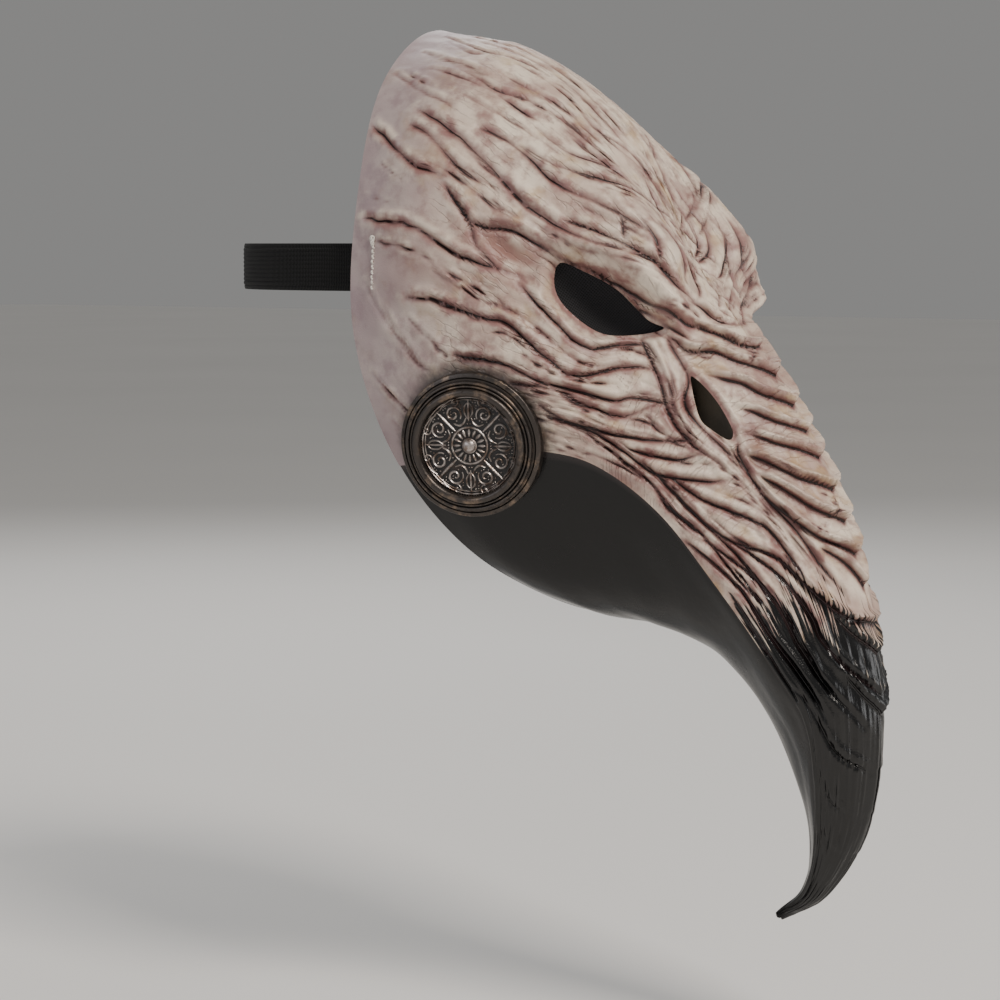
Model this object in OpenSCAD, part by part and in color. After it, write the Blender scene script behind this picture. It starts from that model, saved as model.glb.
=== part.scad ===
// Plague doctor mask: a half-head bird mask with a long curved beak.
// Forward is -Y, up is +Z and the wearer's right is -X. The origin is the centre
// of the head, midway between the temples.

/* [Shell] */
// Width across the temples
mask_w = 170; // [150:1:190]
// Thickness of the moulded wall
wall = 2.6; // [2:0.2:3]
// How far the brow ridges stand out
brow_rise = 13; // [6:1:15]
// Depth of the hollows round the eyes
socket_depth = 5; // [2:1:7]

/* [Medallions] */
// Diameter of the round boss at the jaw hinge
boss_d = 66; // [60:1:68]
// Outer diameter of the bezel ring
bezel_d = 59; // [54:1:60]
// Diameter of the pierced disc inside the bezel
disc_d = 46; // [42:1:47]
// Number of petals round the pierced disc
petals = 12; // [8:1:16]

/* [Strap] */
// Width of the elastic band
strap_w = 22; // [15:1:25]
// Thickness of the elastic band
strap_t = 1.6; // [1.2:0.2:2]
// Distance from the temples to the back of the loop
strap_back = 118; // [105:1:125]
// Number of stitches that hold each end of the band
stitches = 9; // [6:1:12]

/* [Hidden] */
$fn = 48;

// Lengthwise lines of one half of the shell, each [side, forward, up], from the
// back rim to the beak tip. The half is drawn on the wearer's left and mirrored.
RIDGE = [[0, -17, 105], [0, 35, 93], [0, 84, 60], [0, 119, 14], [0, 145, -24], [0, 177, -67],
         [0, 202, -113], [0, 218, -160], [0, 224, -205], [0, 218, -255], [0, 198, -289], [0, 174, -304]];
CREST = [[50, -12, 82], [48, 32, 76], [42, 78, 46], [31, 113, 8], [21, 138, -28], [17, 170, -70],
         [15, 195, -114], [12, 212, -160], [10, 219, -205], [7, 214, -256], [4, 196, -289], [1.5, 174, -303]];
TEMPLE = [[79, -6, 34], [80, 34, 30], [72, 68, 6], [56, 98, -18], [41, 124, -42], [31, 157, -78],
          [26, 184, -118], [21, 203, -162], [17, 212, -206], [11, 208, -257], [6, 193, -289], [2, 173, -303]];
CHEEK = [[85, -6, -36], [84, 34, -36], [79, 60, -48], [69, 86, -60], [55, 114, -70], [43, 145, -94],
         [34, 171, -130], [27, 192, -170], [21, 204, -209], [13, 202, -258], [6.5, 191, -288], [2, 172, -302]];
SEAM = [[75, 13, -99], [76, 38, -96], [73, 62, -92], [66, 86, -90], [58, 110, -96], [48, 136, -116],
        [38, 159, -147], [30, 183, -182], [22, 198, -213], [13, 197, -259], [6.5, 189, -287], [2, 172, -301]];
JOWL = [[52, 48, -146], [50, 66, -150], [46, 82, -152], [40, 98, -153], [34, 116, -156], [28, 136, -163],
        [22, 157, -177], [17, 175, -200], [13, 188, -225], [8, 192, -260], [4, 187, -286], [1.5, 171, -301]];
KEEL = [[0, 80, -170], [0, 90, -171], [0, 99, -172], [0, 108, -173], [0, 118, -175], [0, 131, -180],
        [0, 147, -189], [0, 164, -207], [0, 178, -233], [0, 188, -262], [0, 185, -286], [0, 171, -301]];
RAILS = [RIDGE, CREST, TEMPLE, CHEEK, SEAM, JOWL, KEEL];
seam_line = 4;      // the SEAM line divides the hide from the smooth underside
last_ring = len(RIDGE) - 1;
ring_step = 1 / 4;
line_step = 1 / 4;
widen = mask_w / 170;

// Local rises and hollows of the shell: [u, v, reach along, reach across, height]
FORMS = [[3.55, 1.05, 0.55, 0.42, brow_rise],
         [2.90, 1.35, 0.60, 0.35, brow_rise / 2],
         [2.20, 1.55, 0.60, 0.35, brow_rise / 4],
         [3.35, 1.98, 0.75, 0.30, -socket_depth],
         [2.90, 2.80, 0.80, 0.40, 3]];

// One stretch of a smooth curve between b and c, with a and d as its neighbours
function stretch(a, b, c, d, t) =
    (2 * b + (c - a) * t + (2 * a - 5 * b + 4 * c - d) * t * t + (3 * b - a - 3 * c + d) * t * t * t) / 2;

// The point at u along a lengthwise line
function along(line, u) =
    let (n = len(line) - 1,
         i = min(max(floor(u), 0), n - 1),
         before = i > 0 ? line[i - 1] : 2 * line[0] - line[1],
         after = i < n - 1 ? line[i + 2] : 2 * line[n] - line[n - 1])
    stretch(before, line[i], line[i + 1], after, u - i);

// The point at v round a ring that runs on into its mirror image at both ends
function mirrored(p) = [-p.x, p.y, p.z];
function round_ring(ring, v) =
    let (n = len(ring) - 1,
         i = min(max(floor(v), 0), n - 1),
         before = i > 0 ? ring[i - 1] : mirrored(ring[1]),
         after = i < n - 1 ? ring[i + 2] : mirrored(ring[n - 1]))
    stretch(before, ring[i], ring[i + 1], after, v - i);

// The bare outer surface: u from the back rim to the tip, v from the ridge to the keel
function bare(u, v) =
    let (p = round_ring([for (rail = RAILS) along(rail, u)], abs(v)))
    [(v < 0 ? -1 : 1) * p.x * widen, -p.y, p.z];

// The outward direction of the bare surface
feel = 0.01;
function outward(u, v) =
    let (run = bare(u + feel, v) - bare(u - feel, v),
         turn = bare(u, v + feel) - bare(u, v - feel),
         n = cross(run, turn))
    n / norm(n);

function rise(u, v) =
    let (w = abs(v))
    [for (f = FORMS) f[4] * exp(-pow((u - f[0]) / f[2], 2) - pow((w - f[1]) / f[3], 2))] *
    [for (f = FORMS) 1];

// A point on the shell, sunk below its outer surface
function shell_point(u, v, sunk) = bare(u, v) + (rise(u, v) - sunk) * outward(u, v);

// The wall thins towards the tip, where the beak is narrow
function wall_at(u) = u < 9 ? wall : wall * (1 - 0.4 * (u - 9));

// Faces of a closed strip of shell between two grids of the same size
function strip_faces(rows, cols) =
    let (inner = rows * cols)
    [for (i = [0 : rows - 2]) for (j = [0 : cols - 2])
         let (a = i * cols + j, b = a + 1, c = a + cols, d = c + 1)
         each [[a, d, c], [a, b, d], [a + inner, c + inner, d + inner], [a + inner, d + inner, b + inner]],
     for (i = [0 : rows - 2])
         let (a = i * cols, c = a + cols)
         each [[a, c + inner, a + inner], [a, c, c + inner]],
     for (i = [0 : rows - 2])
         let (a = i * cols + cols - 1, c = a + cols)
         each [[a, c + inner, c], [a, a + inner, c + inner]],
     for (j = [0 : cols - 2])
         each [[j, j + 1 + inner, j + 1], [j, j + inner, j + 1 + inner]],
     for (j = [0 : cols - 2])
         let (a = (rows - 1) * cols + j)
         each [[a, a + 1 + inner, a + inner], [a, a + 1, a + 1 + inner]]];

// A closed strip of shell over the rings us and the lines vs
module strip(us, vs, sunk, thickness) {
    points = [for (layer = [0, 1]) for (u = us) for (v = vs)
              shell_point(u, v, sunk + (layer == 0 ? 0 : thickness * wall_at(u)))];
    polyhedron(points = points, faces = strip_faces(len(us), len(vs)), convexity = 8);
}

rings = [for (i = [0 : last_ring / ring_step]) i * ring_step];
hide_lines = [for (j = [-seam_line / line_step : seam_line / line_step]) j * line_step];

// Smooth closed outline through a few points
function loop(points, steps) =
    let (n = len(points))
    [for (i = [0 : n - 1]) for (s = [0 : steps - 1])
     stretch(points[(i + n - 1) % n], points[i], points[(i + 1) % n], points[(i + 2) % n], s / steps)];

// Openings, each as seen along its own direction: [across, up]
eye_outline = [[-22, 5], [-20, 16], [-10, 13], [6, 4], [19, -9], [26, -13], [14, -16], [-2, -15], [-16, -5]];
eye_centre = [48, -108, -22];
eye_turn = 48;
nostril_outline = [[-9, 12], [-7, 13], [1, 5], [7, -4], [10, -11], [8, -14], [1, -10], [-5, -4]];
nostril_centre = [31, -153, -70];
nostril_turn = 60;
reach = 25;         // half the length of a cutter

module opening(outline, centre, turn) {
    translate(centre)
        rotate([90, 0, turn])
            mirror([1, 0, 0])
                linear_extrude(height = 2 * reach, center = true)
                    polygon(loop(outline, 4));
}

// The right side is the mirror image of the left
module on_side(side) {
    mirror([side == "right" ? 1 : 0, 0, 0])
        children();
}

// The round seat of a medallion, square to the cheek, with +Z outwards
seat_centre = [77 * widen, -56, -87];
seat_turn = 72;
seat_tip = 97;
seat_back = 10;     // how far the boss reaches in through the wall
seat_front = 5;     // how far the boss stands out
module at_seat() {
    translate(seat_centre)
        rotate([seat_tip, 0, seat_turn])
            children();
}
module seat_hole() {
    at_seat()
        translate([0, 0, -2 * seat_back])
            cylinder(h = 4 * seat_back, d = boss_d + 0.1, $fn = 96);
}

// A wrinkled hide of cast latex, trimmed to the openings and the medallion seats
module face_shell() {
    depths = [for (layer = [0, 1]) for (u = rings) for (v = hide_lines) shell_point(u, v, layer * wall_at(u)).y];
    color("antiquewhite")
        resize([0, max(depths) - min(depths), 0])
            difference() {
                strip(rings, hide_lines, 0, 1);
                for (side = ["left", "right"])
                    on_side(side) {
                        opening(eye_outline, eye_centre, eye_turn);
                        opening(nostril_outline, nostril_centre, nostril_turn);
                        seat_hole();
                    }
            }
}

// The smooth black underside of the jaw and beak, a hair clear of the hide along the seam
seam_gap = 0.012;
module jaw_shell() {
    keel = 2 * (len(RAILS) - 1);
    jaw_lines = [seam_line + seam_gap,
                 for (j = [seam_line / line_step + 1 : (keel - seam_line) / line_step - 1]) j * line_step,
                 keel - seam_line - seam_gap];
    points = [for (layer = [0, 1]) for (u = rings) for (v = jaw_lines)
              jaw_point(u, v, keel, layer * wall_at(u))];
    depths = [for (p = points) p.y];
    color("#1b1c20")
        resize([0, max(depths) - min(depths), 0])
            difference() {
                polyhedron(points = points, faces = strip_faces(len(rings), len(jaw_lines)), convexity = 8);
                for (side = ["left", "right"])
                    on_side(side)
                        seat_hole();
            }
}
function jaw_point(u, v, keel, sunk) =
    v <= keel / 2 ? shell_point(u, v, sunk) : mirrored(shell_point(u, keel - v, sunk));

// Black mesh cloth behind each eye opening
mesh_t = 0.6;
mesh_gap = 1.3;
mesh_us = [for (i = [0 : 12]) 2.45 + i * 0.14];
mesh_vs = [for (j = [0 : 7]) 1.45 + j * 0.13];
module eye_mesh(side) {
    color("#101010")
        on_side(side)
            strip(mesh_us, mesh_vs, wall + mesh_gap, mesh_t / wall);
}

// A bead of glue round the edge of the mesh
bead_r = 1.4;
bead_gap = 0.4;
bead_sunk = wall + mesh_gap + mesh_t + bead_gap + bead_r;
bead_corners = [[2.47, 1.47], [3.30, 1.45], [4.10, 1.47], [4.11, 1.90],
                [4.10, 2.34], [3.30, 2.36], [2.47, 2.34], [2.45, 1.90]];
bead_sides = 8;
module eye_glue_bead(side) {
    spots = loop(bead_corners, 4);
    path = [for (s = spots) shell_point(s[0], s[1], bead_sunk)];
    n = len(path);
    points = [for (i = [0 : n - 1])
              let (ahead = path[(i + 1) % n] - path[(i + n - 1) % n],
                   out = outward(spots[i][0], spots[i][1]),
                   across = cross(ahead, out) / norm(cross(ahead, out)))
              for (k = [0 : bead_sides - 1])
              path[i] + bead_r * (cos(45 * k) * out + sin(45 * k) * across)];
    faces = [for (i = [0 : n - 1]) for (k = [0 : bead_sides - 1])
             let (a = i * bead_sides + k,
                  b = i * bead_sides + (k + 1) % bead_sides,
                  c = ((i + 1) % n) * bead_sides + k,
                  d = ((i + 1) % n) * bead_sides + (k + 1) % bead_sides)
             each [[a, c, d], [a, d, b]]];
    color("gainsboro")
        on_side(side)
            polyhedron(points = points, faces = faces, convexity = 6);
}

// The boss: a stepped round cup with a shallow well in front, open to the inside of the mask
well_r = bezel_d / 2 - 4;
cup_t = 2.4;
module medallion_boss(side) {
    r = boss_d / 2;
    color("#3a332e")
        on_side(side)
            at_seat()
                rotate_extrude($fn = 96)
                    polygon([[r - cup_t, -seat_back], [r - 1, -seat_back], [r, -seat_back + 1], [r, seat_front - 2],
                             [r - 1, seat_front - 0.6], [r - 2.4, seat_front], [well_r, seat_front],
                             [well_r, seat_front - 2], [0, seat_front - 2], [0, seat_front - 2 - cup_t],
                             [r - cup_t, seat_front - 2 - cup_t]]);
}

// The bezel: a domed ring with a groove, standing on the boss
bezel_h = 4.5;
module medallion_bezel(side) {
    outer = bezel_d / 2;
    inner = disc_d / 2;
    color("#6e645a")
        on_side(side)
            at_seat()
                translate([0, 0, seat_front])
                    rotate_extrude($fn = 96)
                        polygon([[well_r, 0], [outer, 0], [outer, 1.6], [outer - 0.8, 2.6], [outer - 1.6, 2.6],
                                 [outer - 2.2, 2], [outer - 2.8, 3.4], [outer - 3.8, bezel_h],
                                 [inner + 1.4, bezel_h], [inner + 0.4, bezel_h - 0.6], [inner, bezel_h - 1.4],
                                 [inner, 0.2], [well_r, 0.2]]);
}

// The backing: a black disc that lies in the well
backing_t = 1.6;
module medallion_backing(side) {
    color("#15140f")
        on_side(side)
            at_seat()
                translate([0, 0, seat_front - 2])
                    cylinder(h = backing_t, r = well_r - 0.2, $fn = 96);
}

// The pierced disc: a rim, a ring of petals and curls round a hub
filigree_t = 1.4;
filigree_z = seat_front - 2 + backing_t;
module ring_2d(outer, inner) {
    difference() {
        circle(r = outer);
        circle(r = inner);
    }
}
module medallion_filigree(side) {
    rim = disc_d / 2 - 0.2;
    hub = rim * 0.42;
    curl_r = (rim - hub) / 2 - 0.6;
    color("silver")
        on_side(side)
            at_seat()
                translate([0, 0, filigree_z])
                    linear_extrude(height = filigree_t) {
                        ring_2d(rim, rim - 1.6);
                        ring_2d(hub + 0.8, hub - 0.8);
                        difference() {
                            ring_2d(4.6, 2.2);
                            circle(r = 2.2);
                        }
                        for (i = [0 : petals - 1])
                            rotate(i * 360 / petals)
                                translate([4, -0.5])
                                    square([hub - 4, 1]);
                        for (i = [0 : 7])
                            rotate(i * 45)
                                translate([(rim + hub) / 2 - 0.4, 0])
                                    ring_2d(curl_r, curl_r - 1);
                    }
}

// The domed stud in the middle
stud_r = 2;
module medallion_stud(side) {
    color("lightgrey")
        on_side(side)
            at_seat()
                translate([0, 0, filigree_z])
                    rotate_extrude($fn = 48)
                        polygon([[0, 0], [stud_r, 0], [stud_r, 1.6], [stud_r + 0.9, 2.2],
                                 for (a = [0 : 15 : 90]) [(stud_r + 0.9) * cos(a), 2.4 + 1.8 * sin(a)]]);
}

// The elastic band runs flat behind the head, from one temple to the other
strap_z = -8;
strap_x = mask_w / 2 - 8.5;
strap_end_l = 18;
hinge_y = -5;
swing_gap = 0.4;
swing_limits = [-35, 40];
straight_l = 24;
module hinge_disc(r, t) {
    translate([strap_x - strap_t / 2, hinge_y, strap_z])
        rotate([0, 90, 0])
            cylinder(h = t, r = r, center = true, $fn = 96);
}
module strap_end(side) {
    color("#1a1a1a")
        on_side(side)
            difference() {
                translate([strap_x - strap_t, hinge_y - strap_end_l, strap_z - strap_w / 2])
                    cube([strap_t, strap_end_l, strap_w]);
                hinge_disc(strap_w / 2 + swing_gap, 3 * strap_t);
                for (a = swing_limits)
                    translate([strap_x - 2 * strap_t, hinge_y, strap_z])
                        rotate([a, 0, 0])
                            translate([0, 0, -strap_w / 2 - swing_gap])
                                cube([3 * strap_t, strap_w, strap_w + 2 * swing_gap]);
            }
}
function strap_line(inset) =
    let (half_w = strap_x - inset,
         bend_y = hinge_y + straight_l,
         back = strap_back - inset)
    concat([[half_w, hinge_y]],
           [for (a = [0 : 9 : 180])
            [half_w * sign(cos(a)) * pow(abs(cos(a)), 0.9), bend_y + (back - bend_y) * pow(sin(a), 0.8)]],
           [[-half_w, hinge_y]]);
module strap_band() {
    outside = strap_line(0);
    inside = strap_line(strap_t);
    color("#1a1a1a") {
        translate([0, 0, strap_z - strap_w / 2])
            linear_extrude(height = strap_w)
                polygon(concat(outside, [for (i = [len(inside) - 1 : -1 : 0]) inside[i]]));
        for (side = ["left", "right"])
            on_side(side)
                hinge_disc(strap_w / 2, strap_t);
    }
}

// A row of thread stitches across the band, lying on the outside of the hide
thread_r = 0.45;
stitch_gap = 0.15;
stitch_l = 0.7 * strap_w / stitches;
stitch_u = 0.30;
stitch_top_v = 2.46;
stitch_low_v = 2.75;
module stitching(side) {
    color("whitesmoke")
        on_side(side)
            for (i = [0 : stitches - 1])
                let (share = (i + 0.5) / stitches,
                     v = stitch_top_v + share * (stitch_low_v - stitch_top_v))
                translate(shell_point(stitch_u, v, -thread_r - stitch_gap))
                    cylinder(h = stitch_l, r = thread_r, center = true, $fn = 16);
}

face_shell();
jaw_shell();
eye_mesh("right");  // eye_mesh_right
eye_mesh("left");  // eye_mesh_left
eye_glue_bead("right");  // eye_glue_bead_right
eye_glue_bead("left");  // eye_glue_bead_left
medallion_boss("right");  // medallion_boss_right
medallion_boss("left");  // medallion_boss_left
medallion_bezel("right");  // medallion_bezel_right
medallion_bezel("left");  // medallion_bezel_left
medallion_backing("right");  // medallion_backing_right
medallion_backing("left");  // medallion_backing_left
medallion_filigree("right");  // medallion_filigree_right
medallion_filigree("left");  // medallion_filigree_left
medallion_stud("right");  // medallion_stud_right
medallion_stud("left");  // medallion_stud_left
strap_end("right");  // strap_end_right
strap_end("left");  // strap_end_left
strap_band();
stitching("right");  // stitching_right
stitching("left");  // stitching_left
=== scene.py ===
import math
import random

import bmesh
import bpy
import numpy as np
from mathutils import Matrix, Vector
from mathutils.kdtree import KDTree


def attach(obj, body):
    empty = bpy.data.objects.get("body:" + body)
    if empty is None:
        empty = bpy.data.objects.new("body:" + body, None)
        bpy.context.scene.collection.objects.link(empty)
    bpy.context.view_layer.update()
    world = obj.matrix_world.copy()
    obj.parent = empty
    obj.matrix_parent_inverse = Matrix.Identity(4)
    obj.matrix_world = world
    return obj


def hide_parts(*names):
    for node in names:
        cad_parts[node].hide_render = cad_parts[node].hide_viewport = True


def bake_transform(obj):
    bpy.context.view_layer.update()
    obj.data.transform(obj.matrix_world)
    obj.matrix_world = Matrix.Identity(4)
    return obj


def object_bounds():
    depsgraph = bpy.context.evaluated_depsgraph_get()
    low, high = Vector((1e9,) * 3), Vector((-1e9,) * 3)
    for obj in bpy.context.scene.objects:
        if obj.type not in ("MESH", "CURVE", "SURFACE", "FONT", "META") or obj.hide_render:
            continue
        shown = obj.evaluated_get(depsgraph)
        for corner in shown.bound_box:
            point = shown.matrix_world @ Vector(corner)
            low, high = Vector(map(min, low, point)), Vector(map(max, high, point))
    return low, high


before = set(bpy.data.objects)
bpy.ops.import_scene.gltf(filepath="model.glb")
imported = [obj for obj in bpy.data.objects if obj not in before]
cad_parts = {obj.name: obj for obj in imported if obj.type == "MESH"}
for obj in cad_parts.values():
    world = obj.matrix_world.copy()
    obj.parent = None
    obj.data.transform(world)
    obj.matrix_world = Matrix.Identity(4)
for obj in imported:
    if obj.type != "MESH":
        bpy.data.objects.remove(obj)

MM = 0.001
SIDES = {"right": -1, "left": 1}
cad_low, cad_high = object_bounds()
bpy.ops.object.select_all(action="DESELECT")


# ---------------------------------------------------------------- the shell's form, in millimetres
# Lengthwise lines of one half of the shell, each [side, forward, up], from the back rim to the beak
# tip. They are the lines that the moulded shell was designed on.
RIDGE = [[0, -17, 105], [0, 35, 93], [0, 84, 60], [0, 119, 14], [0, 145, -24], [0, 177, -67],
         [0, 202, -113], [0, 218, -160], [0, 224, -205], [0, 218, -255], [0, 198, -289], [0, 174, -304]]
CREST = [[50, -12, 82], [48, 32, 76], [42, 78, 46], [31, 113, 8], [21, 138, -28], [17, 170, -70],
         [15, 195, -114], [12, 212, -160], [10, 219, -205], [7, 214, -256], [4, 196, -289], [1.5, 174, -303]]
TEMPLE = [[79, -6, 34], [80, 34, 30], [72, 68, 6], [56, 98, -18], [41, 124, -42], [31, 157, -78],
          [26, 184, -118], [21, 203, -162], [17, 212, -206], [11, 208, -257], [6, 193, -289], [2, 173, -303]]
CHEEK = [[85, -6, -36], [84, 34, -36], [79, 60, -48], [69, 86, -60], [55, 114, -70], [43, 145, -94],
         [34, 171, -130], [27, 192, -170], [21, 204, -209], [13, 202, -258], [6.5, 191, -288], [2, 172, -302]]
SEAM = [[75, 13, -99], [76, 38, -96], [73, 62, -92], [66, 86, -90], [58, 110, -96], [48, 136, -116],
        [38, 159, -147], [30, 183, -182], [22, 198, -213], [13, 197, -259], [6.5, 189, -287], [2, 172, -301]]
JOWL = [[52, 48, -146], [50, 66, -150], [46, 82, -152], [40, 98, -153], [34, 116, -156], [28, 136, -163],
        [22, 157, -177], [17, 175, -200], [13, 188, -225], [8, 192, -260], [4, 187, -286], [1.5, 171, -301]]
KEEL = [[0, 80, -170], [0, 90, -171], [0, 99, -172], [0, 108, -173], [0, 118, -175], [0, 131, -180],
        [0, 147, -189], [0, 164, -207], [0, 178, -233], [0, 188, -262], [0, 185, -286], [0, 171, -301]]
SEAM_LINE = 4       # v on the SEAM line, where the hide ends and the smooth underside starts
KEEL_LINE = 6       # v on the KEEL line
LAST_RING = 11      # u at the beak tip
WALL = 2.6          # wall of the moulded shell
DEEPEST = 2.1       # the deepest that a crease may go into it
RING_STEP = 45      # rough distance between two rings, for the size of patterns
LINE_STEP = 40      # and between two lines
FINE_CREASES = 230  # tries at a fine crease on each side
CREASE_ANGLE = 66   # edges of the shell sharper than this stay crisp, in degrees

# Rises and hollows of the shell: [u, v, reach along, reach across, height]
FORMS = [[3.55, 1.05, 0.55, 0.42, 13],      # inner end of the brow
         [2.90, 1.35, 0.60, 0.35, 6.5],     # middle of the brow
         [2.20, 1.55, 0.60, 0.35, 3.25],    # outer end of the brow
         [3.35, 1.98, 0.75, 0.30, -5],      # eye socket
         [2.90, 2.80, 0.80, 0.40, 3]]       # cheek
DETAIL_FORMS = [[3.45, 0.00, 0.50, 0.34, -5.0],     # notch between the brows
                [2.72, 0.95, 0.52, 0.36, 8.5],      # the brow's high back
                [3.25, 1.05, 0.30, 0.30, 2.5],      # the brow's heavy inner end
                [3.72, 0.95, 0.22, 0.40, -5.5],     # its steep front
                [3.88, 1.42, 0.14, 0.14, 4.5],      # bulb at the end of the lid
                [3.35, 1.84, 0.60, 0.12, -3.0],     # hollow under the lid
                [4.10, 0.90, 0.17, 0.40, -4.5],     # step below the brow's inner end
                [4.20, 0.20, 0.30, 0.40, -2.0],     # root of the beak
                [2.15, 2.10, 0.34, 0.11, -3.5],     # pit behind the eye
                [1.20, 2.15, 0.35, 0.20, -1.5],     # hollow of the temple
                [1.70, 1.00, 0.60, 0.30, 1.5]]      # swell of the forehead


def stretch(a, b, c, d, t):
    """One stretch of a smooth curve between b and c, with a and d as its neighbours."""
    return (2 * b + (c - a) * t + (2 * a - 5 * b + 4 * c - d) * t ** 2 + (3 * b - a - 3 * c + d) * t ** 3) / 2


def padded_lines():
    """The lines with one more at each side, their mirror images, and one more ring at each end."""
    lines = np.array([RIDGE, CREST, TEMPLE, CHEEK, SEAM, JOWL, KEEL], float)
    mirror = np.array([-1.0, 1.0, 1.0])
    lines = np.concatenate([lines[1:2] * mirror, lines, lines[-2:-1] * mirror])
    first = 2 * lines[:, :1] - lines[:, 1:2]
    last = 2 * lines[:, -1:] - lines[:, -2:-1]
    return np.concatenate([first, lines, last], axis=1)


LINES = padded_lines()


def bare(u, v, side):
    """Points of the plain outer surface: u from the back rim to the tip, v from the ridge to the keel."""
    u, v = np.broadcast_arrays(np.asarray(u, float), np.asarray(v, float))
    ring = np.clip(np.floor(u).astype(int), 0, LAST_RING - 1)
    line = np.clip(np.floor(v).astype(int), 0, KEEL_LINE - 1)
    along, across = (u - ring)[..., None], (v - line)[..., None]
    rows = []
    for k in range(4):
        rows.append(stretch(*(LINES[line + k, ring + m] for m in range(4)), along))
    p = stretch(*rows, across)
    return np.stack([side * p[..., 0], -p[..., 1], p[..., 2]], axis=-1)


def outward(u, v, side):
    """Outward directions of the plain surface."""
    feel = 0.01
    run = bare(u + feel, v, side) - bare(u - feel, v, side)
    turn = bare(u, v + feel, side) - bare(u, v - feel, side)
    n = np.cross(run, turn) * side
    return n / np.linalg.norm(n, axis=-1, keepdims=True)


def hump(u, v, forms):
    """Height of a set of rises and hollows."""
    return sum(h * np.exp(-((u - a) / ru) ** 2 - ((v - b) / rv) ** 2) for a, b, ru, rv, h in forms)


def wall_at(u):
    """The wall thins towards the tip, where the beak is narrow."""
    return np.where(u < 9, WALL, WALL * (1 - 0.4 * (u - 9)))


def smooth_path(points, step=0.25, closed=False):
    """Points of a smooth curve through a few given ones."""
    p = np.array(points, float)
    if closed:
        p = np.concatenate([p[-1:], p, p[:2]])
    else:
        p = np.concatenate([2 * p[:1] - p[1:2], p, 2 * p[-1:] - p[-2:-1]])
    steps = np.arange(0, 1, step)[:, None]
    parts = [stretch(p[i], p[i + 1], p[i + 2], p[i + 3], steps) for i in range(len(p) - 3)]
    if not closed:
        parts.append(p[-2:-1])
    return np.concatenate(parts)


def ramp(x, low, high):
    """0 below low, 1 above high, and smooth between them."""
    t = np.clip((x - low) / (high - low), 0, 1)
    return t * t * (3 - 2 * t)


def lattice_noise(p, seed):
    """Smooth noise from -1 to 1 at points p, with one cell to each unit."""
    cell = np.floor(p).astype(np.int64)
    t = p - cell
    t = t * t * (3 - 2 * t)
    total = np.zeros(len(p))
    for corner in range(8):
        bits = np.array([corner & 1, corner >> 1 & 1, corner >> 2 & 1])
        h = (cell + bits) @ np.array([73856093, 19349663, 83492791]) + seed * 2654435761
        h = (h ^ (h >> 13)) * 1274126177 & 0x7FFFFFFF
        h = (h ^ (h >> 16)) & 0xFFFF
        weight = np.prod(np.where(bits, t, 1 - t), axis=1)
        total += weight * (h / 32767.5 - 1)
    return total


# ---------------------------------------------------------------- the creases of the hide
# Each crease is (depth, half width, points), where the points are (u, v) and the rest is in millimetres.
FOREHEAD = [
    (1.5, 1.9, [(0.6, 1.4), (1.05, 1.5), (1.7, 1.6), (2.15, 1.65), (2.75, 1.6), (3.1, 1.4)]),
    (1.1, 1.7, [(0.55, 1.55), (0.8, 1.6), (1.25, 1.75), (1.6, 1.75)]),
    (0.8, 1.5, [(0.1, 1.0), (0.55, 1.2), (1.0, 1.3)]),
    (0.7, 1.4, [(0.25, 0.65), (0.65, 0.75), (1.1, 0.8)]),
    (0.6, 1.3, [(0.35, 0.4), (0.7, 0.55), (0.85, 0.5)]),
    (0.9, 1.5, [(0.8, 0.85), (1.25, 0.9), (1.6, 0.75), (1.9, 0.7), (2.4, 0.7)]),
    (0.7, 1.3, [(0.5, 0.9), (0.9, 0.95), (1.3, 0.95)]),
    (1.3, 1.7, [(1.35, 1.35), (1.6, 1.3), (1.9, 1.3), (2.2, 1.35), (2.6, 1.25), (3.1, 1.1)]),
    (1.2, 1.5, [(1.75, 1.25), (2.1, 1.2), (2.5, 1.0), (2.75, 0.7), (2.95, 0.35)]),
    (1.0, 1.4, [(1.75, 1.0), (2.1, 1.0), (2.45, 0.8)]),
    (1.0, 1.4, [(1.8, 0.7), (2.15, 0.8), (2.5, 0.75), (2.8, 0.55), (3.0, 0.15)]),
    (0.7, 1.2, [(1.7, 0.4), (2.1, 0.45), (2.35, 0.15)]),
    (0.9, 1.4, [(1.3, 0.95), (1.6, 0.95), (1.75, 0.9)]),
    (0.8, 1.4, [(1.5, 0.2), (2.0, 0.25), (2.5, 0.2), (2.9, 0.1)])]
BROW = [
    (1.7, 1.5, [(2.5, 1.55), (2.95, 1.40), (3.3, 1.28), (3.7, 1.15), (3.95, 0.95)]),
    (1.6, 1.3, [(2.6, 1.85), (2.95, 1.75), (3.35, 1.66), (3.75, 1.56), (4.05, 1.35), (4.15, 1.1)]),
    (0.9, 1.3, [(2.45, 1.05), (2.85, 1.2), (3.05, 1.35)]),
    (0.9, 1.3, [(2.7, 1.0), (3.2, 1.1), (3.5, 1.25)]),
    (0.9, 1.3, [(2.95, 0.85), (3.5, 0.8), (3.75, 1.0)]),
    (1.0, 1.3, [(3.35, 0.6), (3.8, 0.65), (3.95, 0.95)]),
    (1.1, 1.4, [(2.6, 0.3), (3.05, 0.45), (3.35, 0.35), (3.45, 0.05)]),
    (1.1, 1.4, [(2.6, 0.1), (3.1, 0.25), (3.3, 0.2), (3.4, 0.0)]),
    (1.0, 1.3, [(2.9, 0.6), (3.25, 0.65), (3.6, 0.45), (3.7, 0.1)]),
    (1.4, 1.5, [(3.9, 1.15), (4.0, 0.8), (4.15, 0.5), (4.2, 0.0)])]
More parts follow.
